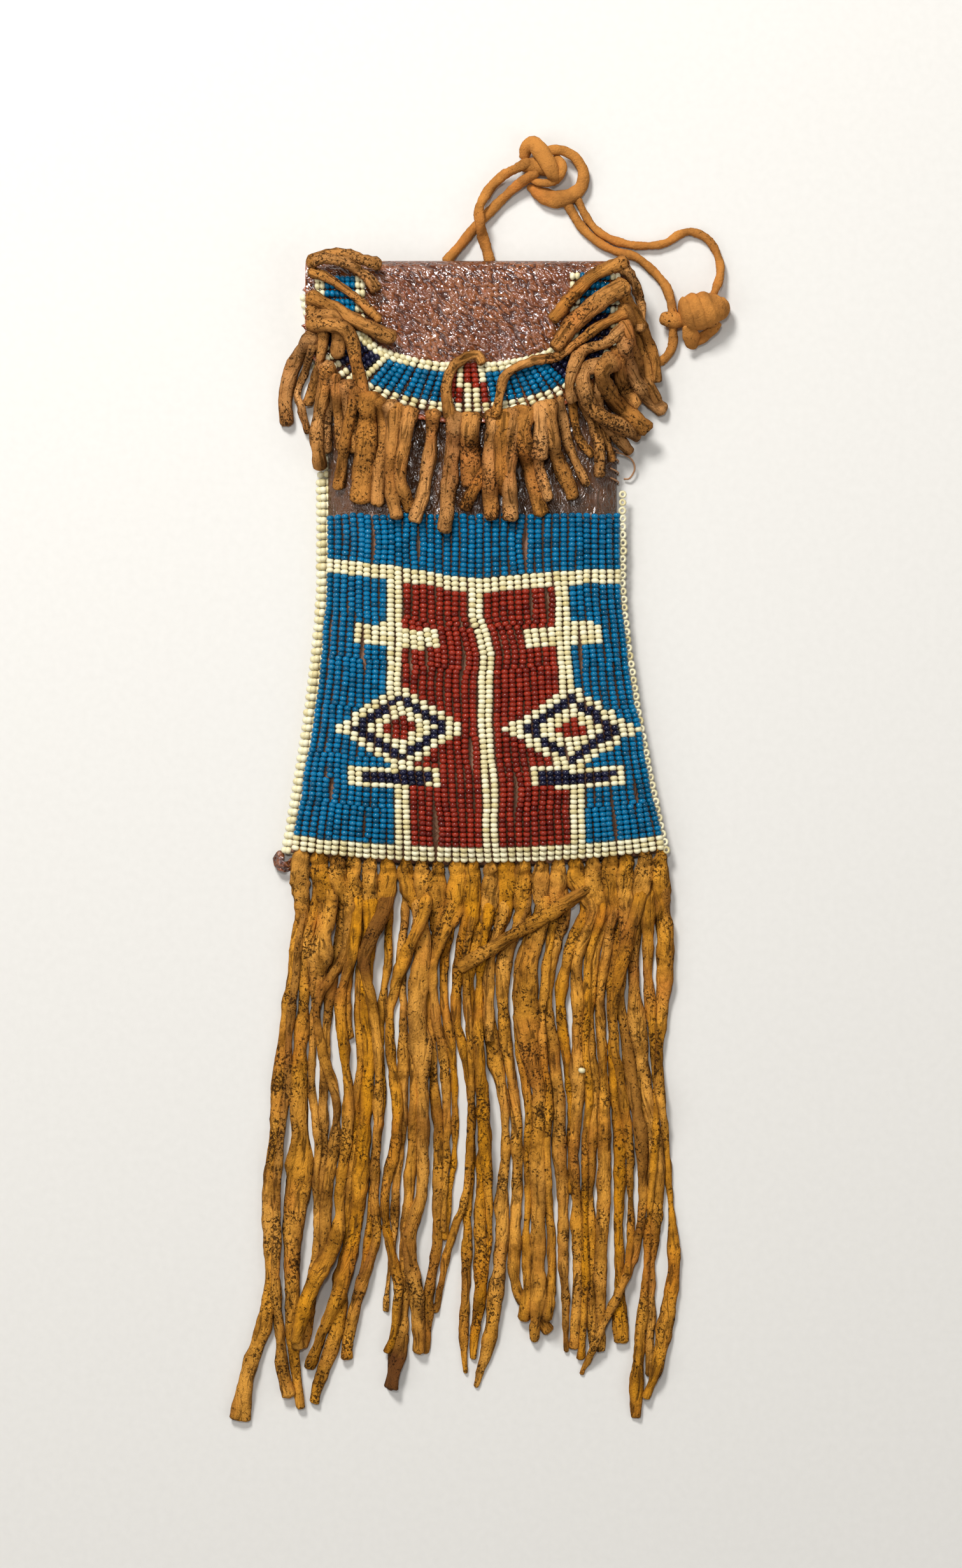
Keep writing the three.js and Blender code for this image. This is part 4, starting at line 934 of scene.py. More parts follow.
# Sinew on the right seam above its beads: a stitch over the edge at every step, and one loose thread
STITCH_TOP, STITCH_BOTTOM, STITCH_PITCH, STITCH_STRAY = 60.0, 19.5, 2.6, 0.3
SINEW_WIDTH = 0.5
SINEW_SIDES = 6
FINE_STEP = 0.5
THREAD = [(36.4, 28.2, 4.0), (38.6, 27.6, 3.6), (40.6, 26.2, 2.8), (41.2, 24, 2.0), (40, 21.8, 1.4),
          (38.6, 21.6, 1.0)]


def sinew_strand(bm, points):
    """A length of sinew through its points."""
    route = smooth_route(points, FINE_STEP)
    rings = thong_rings(route, lambda gone: SINEW_WIDTH, lambda gone: SINEW_WIDTH, lambda gone: 0.0)
    loft(bm, rings, SINEW_SIDES)


stitch_bm = bmesh.new()
for k in range(math.ceil((STITCH_TOP - STITCH_BOTTOM) / STITCH_PITCH)):
    y = STITCH_TOP - k * STITCH_PITCH + STITCH_STRAY * wander(21, k)
    x = across_x(1, y)
    sinew_strand(stitch_bm, [(x - 1.6, y + 0.7, front_rise(x - 1.6, y) + 0.1), (x - 0.5, y + 0.2, 4.6),
                             (x + 0.4, y - 0.3, 3.2), (x + 0.3, y - 0.7, 1.2)])
sinew_strand(stitch_bm, THREAD)
finish_piece("seam_stitches", stitch_bm, SINEW, "pouch", "thong")

# A scrap of the back's hide curls out at the left end of the hem
CURL = [(-48.6, -73.2, 1.2), (-49.4, -75.4, 2.2), (-48.2, -76.8, 3.0), (-46.4, -76.6, 2.6),
        (-45.6, -75.4, 1.8)]
CURL_WIDTHS = [(0, 2.2), (3, 3.4), (6, 3.2), (9, 1.6)]
CURL_THICK = 1.1
CURL_TURN = 0.5
CURL_LUMPS = (1.4, 1.4, 1.4), 0.4
curl_bm = bmesh.new()
curl_rings = thong_rings(smooth_route(CURL, FINE_STEP), lambda gone: along(CURL_WIDTHS, gone),
                         lambda gone: CURL_THICK, lambda gone: CURL_TURN)
curl_verts = loft(curl_bm, curl_rings, BAND_SIDES)
roughen(curl_bm, curl_verts, *CURL_LUMPS)
finish_piece("hem_curl", curl_bm, FLAP_HIDE, "pouch", "body_leather")


# Beads. Each is a short drawn tube with softened ends, strung through its flat sides
BEAD_RADIUS = 1.0
WHITE_SWELL = 1.03
BEAD_LENGTH = 1.3
BEAD_PITCH = 1.24
STRING_PITCH = 2.0
LANE_HUMP = 0.4
BEAD_BLUNT = 1.3
LEAST_BEAD, LARGEST_BEAD = 0.94, 1.05
TINT_POWER = 0.6
RING_HOLE = 0.34
SHAPES = {}


def keep_shape(name, bm):
    """Keeps a bead's mesh with its plain coordinates, to be copied for each bead."""
    for face in bm.faces:
        face.smooth = True
    shape = bpy.data.meshes.new(name)
    bm.to_mesh(shape)
    bm.free()
    shape.attributes.new("tint", "FLOAT", "POINT")
    plain = [0.0] * (3 * len(shape.vertices))
    shape.vertices.foreach_get("co", plain)
    SHAPES[shape] = plain
    return shape


bead_bm = bmesh.new()
bmesh.ops.create_uvsphere(bead_bm, u_segments=8, v_segments=6, radius=1)
for v in bead_bm.verts:
    v.co.z = max(-1.0, min(1.0, v.co.z * BEAD_BLUNT))
bead_shape = keep_shape("bead_shape", bead_bm)

ring_bm = bmesh.new()
bmesh.ops.create_circle(ring_bm, segments=5, radius=(1 - RING_HOLE) / 2)
bmesh.ops.rotate(ring_bm, cent=(0, 0, 0), matrix=Matrix.Rotation(math.pi / 2, 3, "X"), verts=ring_bm.verts)
bmesh.ops.translate(ring_bm, vec=((1 + RING_HOLE) / 2, 0, 0), verts=ring_bm.verts)
bmesh.ops.spin(ring_bm, geom=ring_bm.verts[:] + ring_bm.edges[:], cent=(0, 0, 0), axis=(0, 0, 1),
               angle=2 * math.pi, steps=9, use_merge=True)
bmesh.ops.remove_doubles(ring_bm, verts=ring_bm.verts, dist=1e-4)
bmesh.ops.recalc_face_normals(ring_bm, faces=ring_bm.faces)
ring_shape = keep_shape("ring_shape", ring_bm)

trays = {}


def add_bead(tray, shape, place, string_way, up, radius, length):
    """Adds one bead to a tray: string_way runs through its hole."""
    string_way = string_way.normalized()
    side = up.cross(string_way).normalized()
    up = string_way.cross(side)
    size = radius * rng.uniform(LEAST_BEAD, LARGEST_BEAD)
    matrix = Matrix((side * size, up * size, string_way * length / 2)).transposed().to_4x4()
    matrix.translation = place
    shape.vertices.foreach_set("co", SHAPES[shape])
    shape.attributes["tint"].data.foreach_set("value", [rng.random() ** TINT_POWER] * len(shape.vertices))
    shape.transform(matrix)
    if tray not in trays:
        trays[tray] = bmesh.new()
    trays[tray].from_mesh(shape)


# Front pattern, in the millimetres of the photograph: height by place across, or place across by height
TOP_LINE = [(-38, -0.7), (-20, -2.7), (-6, -5.3), (1.6, -6), (8.7, -5.3), (21.5, -4), (38, -3.3)]
SPINE = [(-75, 5.2), (-52.4, 4), (-41, 3.2), (-29.8, 3.3), (-23.4, 4), (-18.5, 2.7), (-13.7, 0.7),
         (-4.8, 0.7)]
LEFT_COLUMN = [(-75, -17.6), (-57, -17.8), (-51, -18.8), (-42, -18.2), (-33, -19.5), (-3, -19.7)]
RIGHT_COLUMN = [(-75, 26.6), (-51, 26.4), (-42, 25.1), (-33, 23.9), (-3, 22.2)]
UPRIGHTS = [LEFT_COLUMN, SPINE, RIGHT_COLUMN]
LINE_ROWS = 3
DIAMONDS = [(-18.2, -41.8), (25.1, -42.2)]
DIAMOND_RINGS = [("red", 4.6, 3.0), ("white", 9.2, 6.4), ("navy", 12.4, 8.9), ("white", 17.2, 11.2)]
BARS = [-19.4, 26.6]
BAR_LOW, BAR_HIGH, BAR_HALF = -56.9, -51.9, 11.2
BAR_CORE_LOW, BAR_CORE_HIGH, BAR_CORE_HALF = -55.9, -53.0, 9.0
# Arms of the crosses: from and to across, from and to in height
ARMS = [(-29.4, -17.4, -20.5, -15.5), (-21.9, -8.9, -21.9, -17.1), (13.7, 22, -21.6, -16.6),
        (22, 33.2, -20.6, -15.2)]


def front_colour(x, y, column, side_of):
    """A bead's colour: column says it is strung in an upright white pair, side_of which field it lies in."""
    for cx, cy in DIAMONDS:
        for colour, half_x, half_y in DIAMOND_RINGS:
            if abs(x - cx) / half_x + abs(y - cy) / half_y < 1:
                return colour
    for cx in BARS:
        if abs(x - cx) < BAR_CORE_HALF and BAR_CORE_LOW < y < BAR_CORE_HIGH:
            return "navy"
        if abs(x - cx) < BAR_HALF and BAR_LOW < y < BAR_HIGH:
            return "white"
    if column or any(x0 < x < x1 and y0 < y < y1 for x0, x1, y0, y1 in ARMS):
        return "white"
    return side_of


# Lane stitching: short strings side by side, each lane humped up between its two rows of stitches
HEM_MARGIN = 0.9
LAST_LANE = len(LANES) - 2
# How far the field of beads runs past the seams
FIELD_LEFT, FIELD_RIGHT = 0.4, 1.1
# How far strings stray: the top lane's edge, the other lanes' edges, their slant, their bends and their beads
TOP_STRAY, LANE_STRAY, SLANT, BEND, BOB = 0.5, 0.25, 0.5, 0.16, 0.1
SIDE_TILT, RISE_TILT = 0.18, 0.15
# Places where the strings have parted and the leather shows: across, height, half length, opening
GAPS = [
    (-9.2, -67.7, 4.5, 0.9), (15.2, -9.6, 3.5, 0.5), (19.4, -8.8, 3, 0.5), (-24.5, 4.6, 4.5, 0.5),
    (-13.8, 4, 3, 0.4), (13.1, 5, 4, 0.5), (-15.9, -23.9, 3.5, 0.5), (-11.6, -23.4, 4, 0.4),
    (-2.5, -25, 4, 0.5), (-27.7, -22.8, 4, 0.5), (27.4, -22.8, 4, 0.5), (-26.7, -67, 3.5, 0.5),
    (41.1, -58.3, 3.5, 0.5), (36, -66, 4, 0.5), (-36.3, -56.2, 3.5, 0.6), (0.4, -47.6, 4, 0.5),
    (11.5, -58.3, 5, 0.5),
]
GAP_REACH = 2.4
TOP_LINE_DROP = 4.3


def lane_edge(k, x):
    """The height of a lane's upper edge: bowed as the top line is, or more and more as the hem is."""
    if k == 0:
        return LANES[0] + TOP_STRAY * wander(31, x / 5)
    if k > LAST_LANE:
        return hem_line(x) + HEM_MARGIN
    top_bow = along(TOP_LINE, x) + TOP_LINE_DROP
    hem_bow = hem_line(x) - HEM_Y
    return LANES[k] + lerp(top_bow, hem_bow, (k - 1) / LAST_LANE) + LANE_STRAY * wander(40 + k, x / 6)


def part_strings(x, y):
    """Moves a bead aside where the strings have parted."""
    for gap_x, gap_y, half, opening in GAPS:
        near = math.exp(-((x - gap_x) / GAP_REACH) ** 2 - ((y - gap_y) / half) ** 2)
        x += math.copysign(opening * near, x - gap_x)
    return x


def line_rows(k, count):
    """The rows of a lane that make a white line: the first under the blue band, the last at the hem."""
    if k == 1:
        return range(LINE_ROWS)
    if k == LAST_LANE:
        return range(count - LINE_ROWS, count)
    return ()


for k in range(LAST_LANE + 1):
    middle = (LANES[k] + LANES[k + 1]) / 2
    left, right = across_x(-1, middle) - FIELD_LEFT, across_x(1, middle) + FIELD_RIGHT
    strings = round((right - left) / STRING_PITCH)
    pairs = [round((along(upright, middle) - left) / (right - left) * strings) for upright in UPRIGHTS]
    for i in range(strings):
        share = (i + 0.5) / strings
        seed = 100 * k + i
        x = lerp(left, right, share)
        first, last = lane_edge(k, x), lane_edge(k + 1, x)
        count = round((first - last) / BEAD_PITCH)
        slant = SLANT * wander(80 + k, i / 9)
        spots = []
        for j in range(count):
            t = (j + 0.5) / count
            y = lerp(first, last, t)
            fixed = [(0, across_x(-1, y) - FIELD_LEFT)]
            fixed += [(pair / strings, along(upright, y)) for pair, upright in zip(pairs, UPRIGHTS)]
            fixed.append((1, across_x(1, y) + FIELD_RIGHT))
            x = along(fixed, share) + slant * math.sin(math.pi * t) + BEND * wander(seed, t * 1.5)
            x = part_strings(x, y)
            bob = BOB * wander(seed + 0.5, t * 4)
            z = front_rise(x, y) + BEAD_RADIUS + LANE_HUMP * math.sin(math.pi * t) + bob
            spots.append(Vector((x, y, z)))
        column = k > 0 and any(i in (pair - 1, pair) for pair in pairs)
        side_of = "red" if k > 0 and pairs[0] <= i < pairs[2] else "blue"
        white_rows = line_rows(k, count)
        for j, spot in enumerate(spots):
            way = spots[min(j + 1, count - 1)] - spots[max(j - 1, 0)]
            way += Vector((rng.uniform(-SIDE_TILT, SIDE_TILT), 0, rng.uniform(-RISE_TILT, RISE_TILT)))
            colour = "white" if j in white_rows else front_colour(spot.x, spot.y, column, side_of)
            size = BEAD_RADIUS * (WHITE_SWELL if colour == "white" else 1)
            add_bead(("pouch", colour), bead_shape, spot, way, UP, size, BEAD_LENGTH)

# Edge beads: rows of two or three laid over the left seam, one ring bead after another on the right
ROW_PITCH = 1.95
ROLL_TOP = 68.5
ROLL_RADIUS = 1.3
ROLL_OUT = 1.1
ROLL_SPREAD = 2.8
SPREAD_FROM = 38
THREE_BELOW = 22
RING_PITCH = 2.05
RING_TOP = 18.5
RING_OUT = 1.5
RING_Z = 4.2
RING_RADIUS = 1.08
RING_LENGTH = 2.2
ROLL_LENGTH = BEAD_LENGTH * 1.25
# Degrees about the seam at which the beads of a row lie
ROLL_OF_THREE = 42, 96, 150
ROLL_OF_TWO = 58, 128
ROLL_LOOSE = 5
ROLL_LEAN, LEAN_TURN = 0.25, 0.3
RING_STRAY = 0.15
ring_hem = hem_line(across_x(1, HEM_Y))
roll_hem = hem_line(across_x(-1, HEM_Y))
for k in range(round((ROLL_TOP - roll_hem) / ROW_PITCH)):
    y = ROLL_TOP - (k + 0.5) * ROW_PITCH
    edge = across_x(-1, y) - ROLL_SPREAD * max(0.0, y - SPREAD_FROM) / (ROLL_TOP - SPREAD_FROM)
    angles = ROLL_OF_THREE if y < THREE_BELOW else ROLL_OF_TWO
    lean = ROLL_LEAN * wander(7, y / 7)
    for degrees in angles:
        angle = math.radians(degrees + rng.uniform(-ROLL_LOOSE, ROLL_LOOSE))
        out = Vector((math.cos(angle), 0, math.sin(angle)))
        spot = Vector((edge - ROLL_OUT, y + lean * math.cos(angle), ROLL_RADIUS)) + out * ROLL_RADIUS
        way = Vector((-math.sin(angle), lean * LEAN_TURN, math.cos(angle)))
        add_bead(("pouch", "white"), bead_shape, spot, way, out, BEAD_RADIUS, ROLL_LENGTH)
for k in range(round((RING_TOP - ring_hem) / RING_PITCH)):
    y = RING_TOP - (k + 0.5) * RING_PITCH
    spot = Vector((across_x(1, y) + RING_OUT + RING_STRAY * wander(9, y / 3), y, RING_Z))
    way = Vector((rng.uniform(0.1, 0.5), rng.uniform(-0.2, 0.2), 1))
    add_bead(("pouch", "white"), ring_shape, spot, way, Vector((0, 1, 0)), RING_RADIUS, RING_LENGTH)

# Flap beads: short strings square to the edge, white at both ends, with fields of colour between
BAND_INNER, BAND_OUTER = 15.2, 2.5
FLAP_STRING_PITCH = 2.0
BAND_FROM, BAND_TO = 0.28, 3.74
FLAP_FIELDS = [(0.8, "blue"), (1.45, "navy"), (1.5, "white"), (1.885, "blue"), (2.1, "red"), (2.47, "blue"),
               (3.2, "navy"), (4, "blue")]
# The middle strings from their inner end, bead by bead
CENTRE_STRINGS = ["rrrrrrrww", "wwwwwrrrw", "rrrrwwwww", "rrrrrwwww", "wwwwrrrrw", "wwbwwrrrw", "wrrrrrrww"]
COLOUR_LETTERS = {"w": "white", "r": "red", "b": "blue"}
BAND_LIFT = BEAD_RADIUS + 0.1
END_BEADS = 2
STRING_SHIFT, STRING_BEND = 0.25, 0.2
LOOSE_BEAD = Vector((27.7, -128.5, 6.4))
LOOSE_WAY = Vector((0.2, 1, 0.1))


def flap_spot(place, inset, lift):
    edge = flap_edge(place, inset)
    return Vector((edge.x, edge.y, flap_rise(edge.x) + lift))


band_middle = (BAND_INNER + BAND_OUTER) / 2
place = BAND_FROM
centre_strings = iter(CENTRE_STRINGS)
while place < BAND_TO:
    colour = next(name for limit, name in FLAP_FIELDS if place < limit)
    inner = flap_spot(place, BAND_INNER, BAND_LIFT)
    outer = flap_spot(place, BAND_OUTER, BAND_LIFT)
    count = round((outer - inner).length / BEAD_PITCH)
    letters = next(centre_strings, None) if colour == "red" else None
    shift = STRING_SHIFT * wander(61, place * 9)
    for j in range(count):
        share = (j + 0.5) / count
        if letters:
            bead_colour = COLOUR_LETTERS[letters[min(j, len(letters) - 1)]]
        else:
            bead_colour = colour if END_BEADS <= j < count - END_BEADS else "white"
        spot = inner.lerp(outer, share) + Vector((0, 0, LANE_HUMP * math.sin(math.pi * share)))
        way = outer - inner + Vector((rng.uniform(-1, 1), rng.uniform(-1, 1), rng.uniform(-1, 1)))
        across_string = (outer - inner).cross(UP).normalized()
        spot += across_string * (shift + STRING_BEND * wander(70 + place * 50, share * 2))
        add_bead(("flap", bead_colour), bead_shape, spot, way, UP, BEAD_RADIUS, BEAD_LENGTH)
    here = flap_edge(place, band_middle)
    step = 0.002
    speed = (flap_edge(place + step, band_middle) - here).length / step
    place += FLAP_STRING_PITCH / speed

# One white bead lies loose among the hem fringe
add_bead(("pouch", "white"), bead_shape, LOOSE_BEAD, LOOSE_WAY, UP, BEAD_RADIUS, BEAD_LENGTH)

BEAD_NODES = {
    ("pouch", "white"): ["white_lattice", "white_heart_left", "white_heart_right", "left_edge_beads",
                         "right_edge_beads"],
    ("pouch", "blue"): ["blue_band", "blue_field_left", "blue_field_right"],
    ("pouch", "red"): ["red_field_left", "red_field_right", "red_core_left", "red_core_right"],
    ("pouch", "navy"): ["navy_ring_left", "navy_ring_right", "navy_bar_left", "navy_bar_right"],
    ("flap", "white"): ["flap_white_lines"],
    ("flap", "blue"): ["flap_blue_corner_left", "flap_blue_left", "flap_blue_right",
                       "flap_blue_corner_right"],
    ("flap", "red"): ["flap_red_centre"],
    ("flap", "navy"): ["flap_navy_left", "flap_navy_right"],
}
for (body, colour), nodes in BEAD_NODES.items():
    finish_piece(f"{body}_{colour}_beads", trays[body, colour], BEADS[colour], body, f"{colour}_glass", nodes)
for shape in (bead_shape, ring_shape):
    bpy.data.meshes.remove(shape)


# Fringe. Strands are laid one after another, each lifted over those already down
CELL = 6.0
NESTING = 0.86
EASING_TURNS = 6
STRAND_STEP = 1.1
STRAND_SIDES = 12
FULLNESS = 1.08
WIDTH_UNEVEN, THICK_UNEVEN, TONE_UNEVEN = 0.16, 0.12, 0.35
PILE_LIMIT = 5.0
BROWN_FADE = 8.0
# Painted shade along each strand's sides: how dark it gets at the very side
EDGE_SHADE = 0.6
SMOKED = 0.34
# Where across a strand its painted side shade begins
EDGE_FROM = 0.6
LAY_APART = 9.0
# A stretch that lies before the strand, for one that isn't browned
NOWHERE = (-10, -9, 0)
# Lumps: their reach on each axis, and how far they stand out
STRAND_LUMPS = (1.4, 5.0, 1.4), 0.42
STRAND_NAP = (1.0, 1.0, 1.0), 0.16
# How strands lie: from how far along they may be lifted, their twist, thickness for width, most thickness
FLAP_LIE = (2.5, 0.4, 0.84, 3.4)
HEM_LIE = (6, 1.1, 0.66, 2.4)


class Pile:
    """What has been laid so far: the middles and sizes of strands, by cell."""

    def __init__(self):
        self.cells = {}

    def lift(self, spot, width, thick):
        """The lowest height at which a strand's middle clears what lies under it."""
        height = 0.0
        column, row = round(spot.x / CELL), round(spot.y / CELL)
        for i in (-1, 0, 1):
            for j in (-1, 0, 1):
                for other, other_width, other_thick in self.cells.get((column + i, row + j), ()):
                    reach = (width + other_width) / 2 * NESTING
                    gap = math.hypot(spot.x - other.x, spot.y - other.y)
                    if gap < reach:
                        rise = (thick + other_thick) / 2 * NESTING * math.sqrt(1 - (gap / reach) ** 2)
                        height = max(height, other.z + rise)
        return height

    def lay(self, route, width_at, thick_at, ground, free_from):
        """Sets each point's height, smoothed along the strand, and keeps the strand in the pile."""
        gone = running_lengths(route)
        floor_heights = []
        for spot, way in zip(route, gone):
            low = ground(spot) + thick_at(way) / 2
            lifted = self.lift(spot, width_at(way), thick_at(way)) if way > free_from else 0.0
            floor_heights.append(max(low, min(lifted, low + PILE_LIMIT)))
        heights = list(floor_heights)
        for _ in range(EASING_TURNS):
            eased = list(heights)
            for i in range(1, len(heights) - 1):
                eased[i] = max(floor_heights[i], (heights[i - 1] + heights[i] + heights[i + 1]) / 3)
            heights = eased
        for spot, height, way in zip(route, heights, gone):
            spot.z = height
            cell = (round(spot.x / CELL), round(spot.y / CELL))
            self.cells.setdefault(cell, []).append((spot, width_at(way), thick_at(way)))


def grain_skin(bm, verts, rings, sides, total, seed, browned):
    """Gives a strand its tone, its browned stretch, painted shade along its sides, and the lay of its skin: side,
    length and height.
    """
    layers = bm.verts.layers
    tone, brown, lay = layers.float["tone"], layers.float["brown"], layers.float_vector["lay"]
    start, end, depth = browned
    shade = rng.random()
    smoked = SMOKED * max(0.0, wander(seed + 0.5, 3.1))
    for k, ring in enumerate(rings):
        gone = total * k / len(rings)
        width, thick = ring.col[0].length, ring.col[1].length
        into = ring.inverted()
        for v in verts[k * sides:(k + 1) * sides]:
            local = into @ v.co
            v[lay] = Vector((local.x * width, gone, local.y * thick + LAY_APART * seed)) * MM
            v[tone] = shade + TONE_UNEVEN * wander(seed + 0.9, gone / 14)
            # Painted shade: the strand darkens toward its sides, where shade falls between strands
            edge = EDGE_SHADE * max(0.0, abs(local.x) - EDGE_FROM) / (1 - EDGE_FROM)
            stretch = depth * min(1.0, max(0.0, min(gone - start, end - gone) / BROWN_FADE))
            v[brown] = max(edge, stretch, smoked)


def strand(bm, pile, points, stops, ground, seed, lie, browned):
    """One buckskin strand through its points: uneven, a little twisted, with its own tone, lying on the pile.
    Browned is the stretch along it that has darkened."""
    route = smooth_route(points, STRAND_STEP)
    free_from, twist, roundness, most = lie

    def width_at(gone):
        return FULLNESS * along(stops, gone) * (1 + WIDTH_UNEVEN * wander(seed, gone / 6))

    def thick_at(gone):
        return min(most, roundness * width_at(gone)) * (1 + THICK_UNEVEN * wander(seed + 0.3, gone / 4))

    pile.lay(route, width_at, thick_at, ground, free_from)
    rings = thong_rings(route, width_at, thick_at, lambda gone: twist * wander(seed + 0.7, gone / 16))
    verts = loft(bm, rings, STRAND_SIDES)
    grain_skin(bm, verts, rings, STRAND_SIDES, route_length(route), seed, browned)
    roughen(bm, verts, *STRAND_LUMPS)
    roughen(bm, verts, *STRAND_NAP)


def skin_mesh():
    """An empty mesh for strands, ready to hold their tones, browned stretches with painted shade along their sides,
    and lay.
    """
    bm = bmesh.new()
    bm.verts.layers.float.new("tone")
    bm.verts.layers.float.new("brown")
    bm.verts.layers.float_vector.new("lay")
    return bm


def flap_inset(x, y):
    """Roughly how far a place lies inside the flap's edge."""
    across = abs(x - FLAP_SHIFT) / FLAP_HALF
    down = max(0.0, FLAP_SIDE_Y - y) / FLAP_ROUND
    return (1 - math.hypot(across, down)) * lerp(FLAP_HALF, FLAP_ROUND, min(1.0, down))


# How fast the ground falls away past the pouch's sides
SIDE_DROP = 0.7


def front_ground(spot):
    """What a strand of the flap lies on: the flap and its beads, the front, or the drop past the sides."""
    x, y = spot.x, spot.y
    if on_flap(x, y):
        return flap_rise(x) + (2 * BEAD_RADIUS if flap_inset(x, y) > BAND_OUTER - 1 else 0.2)
    past = max(0.0, abs(x) - half_width(y))
    if past:
        return max(0.0, FRONT_TOP - POCKET_DEPTH + 1 - past * SIDE_DROP)
    return front_rise(x, y) + (2 * BEAD_RADIUS + LANE_HUMP if y < LANES[0] else 0.1)


# Flap fringe: a root place along the edge, a width, and a run of offsets from the root
FLAP_STRANDS = [
    (0, 3.2, [(4.5, 1.8), (9.4, 1.5), (17.1, -0.8)]),
    (0.06, 3, [(4, 0.6), (8.9, -0.6), (13.7, -3.5), (16.3, -6.8)]),
    (0.2, 2.6, [(4, -1.5), (10.8, -6.1), (17.1, -12.1)]),
    (0.57, 3.8, [(6, -2.9), (12.4, -6.5), (20.2, -10.3)]),
    (0.72, 2.9, [(2.3, -3.9), (2.9, -9.2), (1.1, -16.5), (-1.3, -23.2)]),
    (0.85, 3.8, [(6, 0), (7, -5), (6.5, -9.5)]),
    (0.95, 3.6, [(9, -2), (11.6, -10.5), (13.4, -19)]),
    (1.07, 3.8, [(-3.5, -3.2), (-6.1, -8.9), (-7.1, -15.3), (-6.8, -20.5)]),
    (1.12, 2, [(-4.5, -10.5), (-3.5, -15.3), (-2, -21.3)]),
    (1.28, 3.8, [(2, -5), (-0.3, -12), (-0.5, -21)]),
    (1.3, 3.8, [(-3, -15), (-2.3, -24)]),
    (1.36, 2.6, [(0.5, -9), (1, -18)]),
    (1.44, 4, [(1, -8), (2.2, -16.3)]),
    (1.5, 3.2, [(-3, -12), (-4.8, -24)]),
    (1.56, 5.6, [(-0.5, -12), (-2, -26)]),
    (1.62, 3.6, [(1, -9), (-0.3, -18), (-0.5, -25.5)]),
    (1.67, 3.8, [(1, -8), (0, -23)]),
    (1.7, 3.8, [(-1.5, -14), (-1, -22), (0, -27.5)]),
    (1.76, 3.8, [(-1.5, -9), (-2.4, -17.5), (0, -24.5)]),
    (1.86, 3.5, [(-1, -10), (-3, -21), (-4.8, -26.5)]),
    (1.93, 3, [(-1, 5), (-0.5, 10), (2, 13.5), (6.5, 15.5), (8, 13.5)]),
    (1.95, 4.5, [(-0.5, -8), (-1.6, -18), (-2.7, -28.5)]),
    (2.01, 5.5, [(0, -6), (0.5, -17)]),
    (2.1, 3.5, [(0, -7), (-1, -13), (-4.5, -18.5), (-7, -23)]),
    (2.12, 4.2, [(-1.5, -8), (-1.7, -17), (-1.3, -25.5)]),
    (2.16, 5.5, [(-0.8, -10), (0.3, -19.5)]),
    (2.19, 4.2, [(-1, -12), (-0.8, -26.5)]),
    (2.24, 5, [(-1, -6), (1, -13), (4, -25.5)]),
    (2.3, 3.2, [(0, -14), (2.5, -23)]),
    (2.32, 4.5, [(-0.5, -8), (-1.2, -13)]),
    (2.34, 4, [(1.8, -11), (4.2, -17.5), (6.5, -23)]),
    (2.4, 2.6, [(2, -10), (4.8, -17), (6.8, -21)]),
    (2.46, 2.3, [(1.8, -10), (5.5, -15)]),
    (2.5, 3, [(5, -12), (5.5, -21)]),
    (2.56, 2.3, [(4, -11), (6.3, -18.5)]),
    (2.66, 3.5, [(-1, -9), (4, -15.5), (7, -19.2)]),
    (2.72, 4.2, [(-6, -1), (-6.5, -5.6), (-3.2, -12), (7.3, -17)]),
    (2.76, 4.5, [(-3, -3.5), (0, -9), (4.8, -13.5), (8.4, -16.8)]),
    (2.84, 3.5, [(0.6, -7), (4.7, -13.5)]),
    (2.95, 4.2, [(1, -6.5), (4.4, -13), (10, -18)]),
    (3, 3.2, [(-4.5, -4), (-9.7, -5.6), (-12.6, -9.7), (-13.7, -14.5), (-13, -18.5)]),
    (3.05, 2.9, [(3, -7.3), (6.3, -13.7), (8.7, -18.5)]),
    (3.2, 2.7, [(-5.6, -2.9), (-11.3, -6.9), (-17, -11), (-23.4, -12.1), (-29.8, -15.8), (-32.3, -26)]),
    (3.3, 2.6, [(3.5, -5.2), (5.6, -11.6), (6.8, -18)]),
    (3.45, 2.9, [(4.7, -6.5), (7.9, -14.5), (8.4, -20.6)]),
    (3.59, 4.8, [(-6.5, -4), (-13.7, -10.5), (-17.1, -15.3)]),
    (3.85, 2.6, [(2.4, -2.7), (4.5, -8.4), (4.2, -14.8)]),
    (3.95, 3.3, [(-7.7, -3.5), (-14.2, -10), (-17.7, -14.4)]),
]
ROOT_INSET = 1.6
ROOT_WIDE = 1.1
ROOT_LENGTH = 5
FLAP_SLIM = 0.88
ROOT_END = 0.06
LONGER_THAN_ANY = 100

flap_pile = Pile()
flap_fringe_bm = skin_mesh()
for seed, (where, width, offsets) in enumerate(FLAP_STRANDS):
    root = flap_edge(min(max(where, ROOT_END), 4 - ROOT_END), ROOT_INSET)
    points = [Vector((root.x + dx, root.y + dy, 0)) for dx, dy in [(0, 0)] + offsets]
    stops = [(0, width * ROOT_WIDE), (ROOT_LENGTH, FLAP_SLIM * width), (LONGER_THAN_ANY, FLAP_SLIM * width)]
    strand(flap_fringe_bm, flap_pile, points, stops, front_ground, seed, FLAP_LIE, NOWHERE)
flap_fringe = finish_piece("flap_fringe_strands", flap_fringe_bm, FLAP_SKIN, "flap", "buckskin",
                           ["flap_fringe"])

